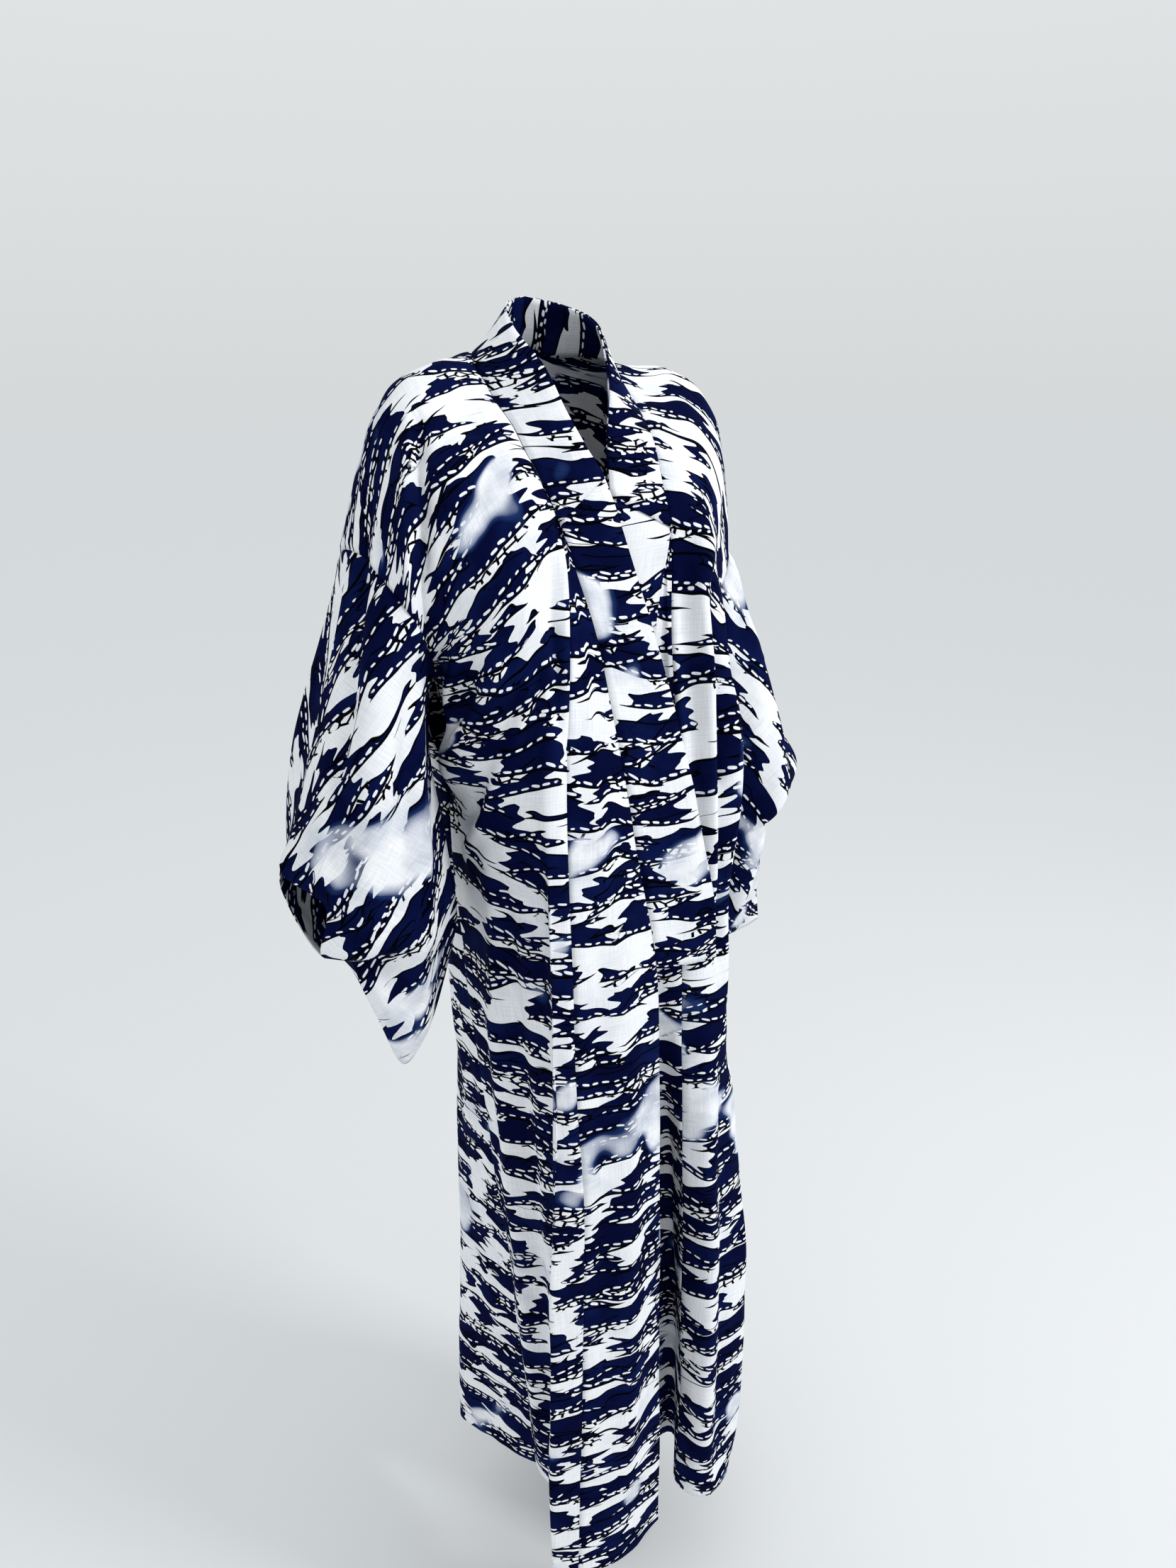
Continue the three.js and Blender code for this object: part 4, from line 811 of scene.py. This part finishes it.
for side in ("right", "left"):
    parts = {part: np.array([*SLEEVE[side][part], SLEEVE[side]["bottom"]], float) * MM
             for part in ("front", "back")}
    down = steps_along(np.concatenate([column([SHOULDER[side]], "side"), parts["front"][:, 0]]))
    opens, closes = (down[:row].sum() for row in CUFF)
    sheets = []
    for part, step in (("front", 1), ("back", -1)):
        seam = body[side][HALF + step * np.arange(steps_to(ARMPIT) + 1), -1]
        crossings = spline(parts[part].swapaxes(0, 1), steps_at(STEPS[:ARMPIT]))
        runs = np.concatenate([seam[None], crossings.swapaxes(0, 1)])
        grid = spline(runs, steps_at(down))
        out = facing(grid) * step * (1 if side == "right" else -1)
        far = np.minimum(lengths(grid, 1), lengths(grid[::-1], 0)[::-1])
        grid = folded(grid, out, SLEEVE_LOOSE, np.clip(far / HELD_REACH, 0, 1))
        grid = pressed(grid, out, lengths(grid, 0))
        sheets.append(sewn(grid.swapaxes(0, 1), seam).swapaxes(0, 1))
    shared = np.r_[0:opens + 1, closes:down.sum() + 1]
    sheets[1][shared, 0] = sheets[0][shared, 0]
    made = []
    for grid, turned, face in zip(sheets, (side == "left", side == "right"), (1, -1)):
        made.append((grid, turned, flattened(grid) * (1, face) + SLEEVE_PRINT[side]))
    piece = build(f"sleeve_{side}", made, CLOTH)
    piece.data.materials.append(cotton)

# ----------------------------------------------------------
# Floor and light: a plain pale floor below the hem, a pale sky all round that grows brighter
# overhead, and one soft lamp.
# ----------------------------------------------------------
FLOOR_Z, FLOOR_HALF = -1.55, 60.0
FLOOR, SKY = "#e4e6e8", (0.965, 0.99, 1.0, 1)
SKY_LOW, SKY_HIGH = 0.70, 0.96    # strength of the sky at the horizon and towards the top
floor_mesh = bpy.data.meshes.new("floor")
corners = [(a * FLOOR_HALF, b * FLOOR_HALF, FLOOR_Z) for a, b in ((-1, -1), (1, -1), (1, 1), (-1, 1))]
floor_mesh.from_pydata(corners, [], [(0, 1, 2, 3)])
floor = bpy.data.objects.new("floor", floor_mesh)
bpy.context.scene.collection.objects.link(floor)

plaster = bpy.data.materials.new("pale_matt_floor")
plaster.use_nodes = True
matt = plaster.node_tree.nodes["Principled BSDF"].inputs
for name, value in (("Base Color", linear(FLOOR)), ("Roughness", 0.9), ("Specular IOR Level", 0.0)):
    matt[name].default_value = value
floor_mesh.materials.append(plaster)

world = bpy.data.worlds.new("studio")
world.use_nodes = True
sky = world.node_tree
height = put(sky, "VectorMath", [put(sky, "TexCoord"), (0.0, 0.0, 1.0)], operation="DOT_PRODUCT")
glow = sky.nodes["Background"].inputs
sky.links.new(put(sky, "MapRange", [height, 0.0, 0.9, SKY_LOW, SKY_HIGH]), glow["Strength"])
glow["Color"].default_value = SKY
bpy.context.scene.world = world
bpy.context.scene.view_settings.view_transform = "Standard"


def lamp(name, place, towards, size, power):
    """A square soft lamp at a place, turned to face a point."""
    data = bpy.data.lights.new(name, "AREA")
    data.size, data.energy = size, power
    light = bpy.data.objects.new(name, data)
    light.location = place
    aim = np.array(towards) - np.array(place)
    light.rotation_euler = (math.atan2(math.hypot(aim[0], aim[1]), -aim[2]), 0,
                            math.atan2(-aim[0], aim[1]))
    bpy.context.scene.collection.objects.link(light)


lamp("key_lamp", place=(1.5, -1.7, 1.15), towards=(0, 0, -0.45), size=0.7, power=34)
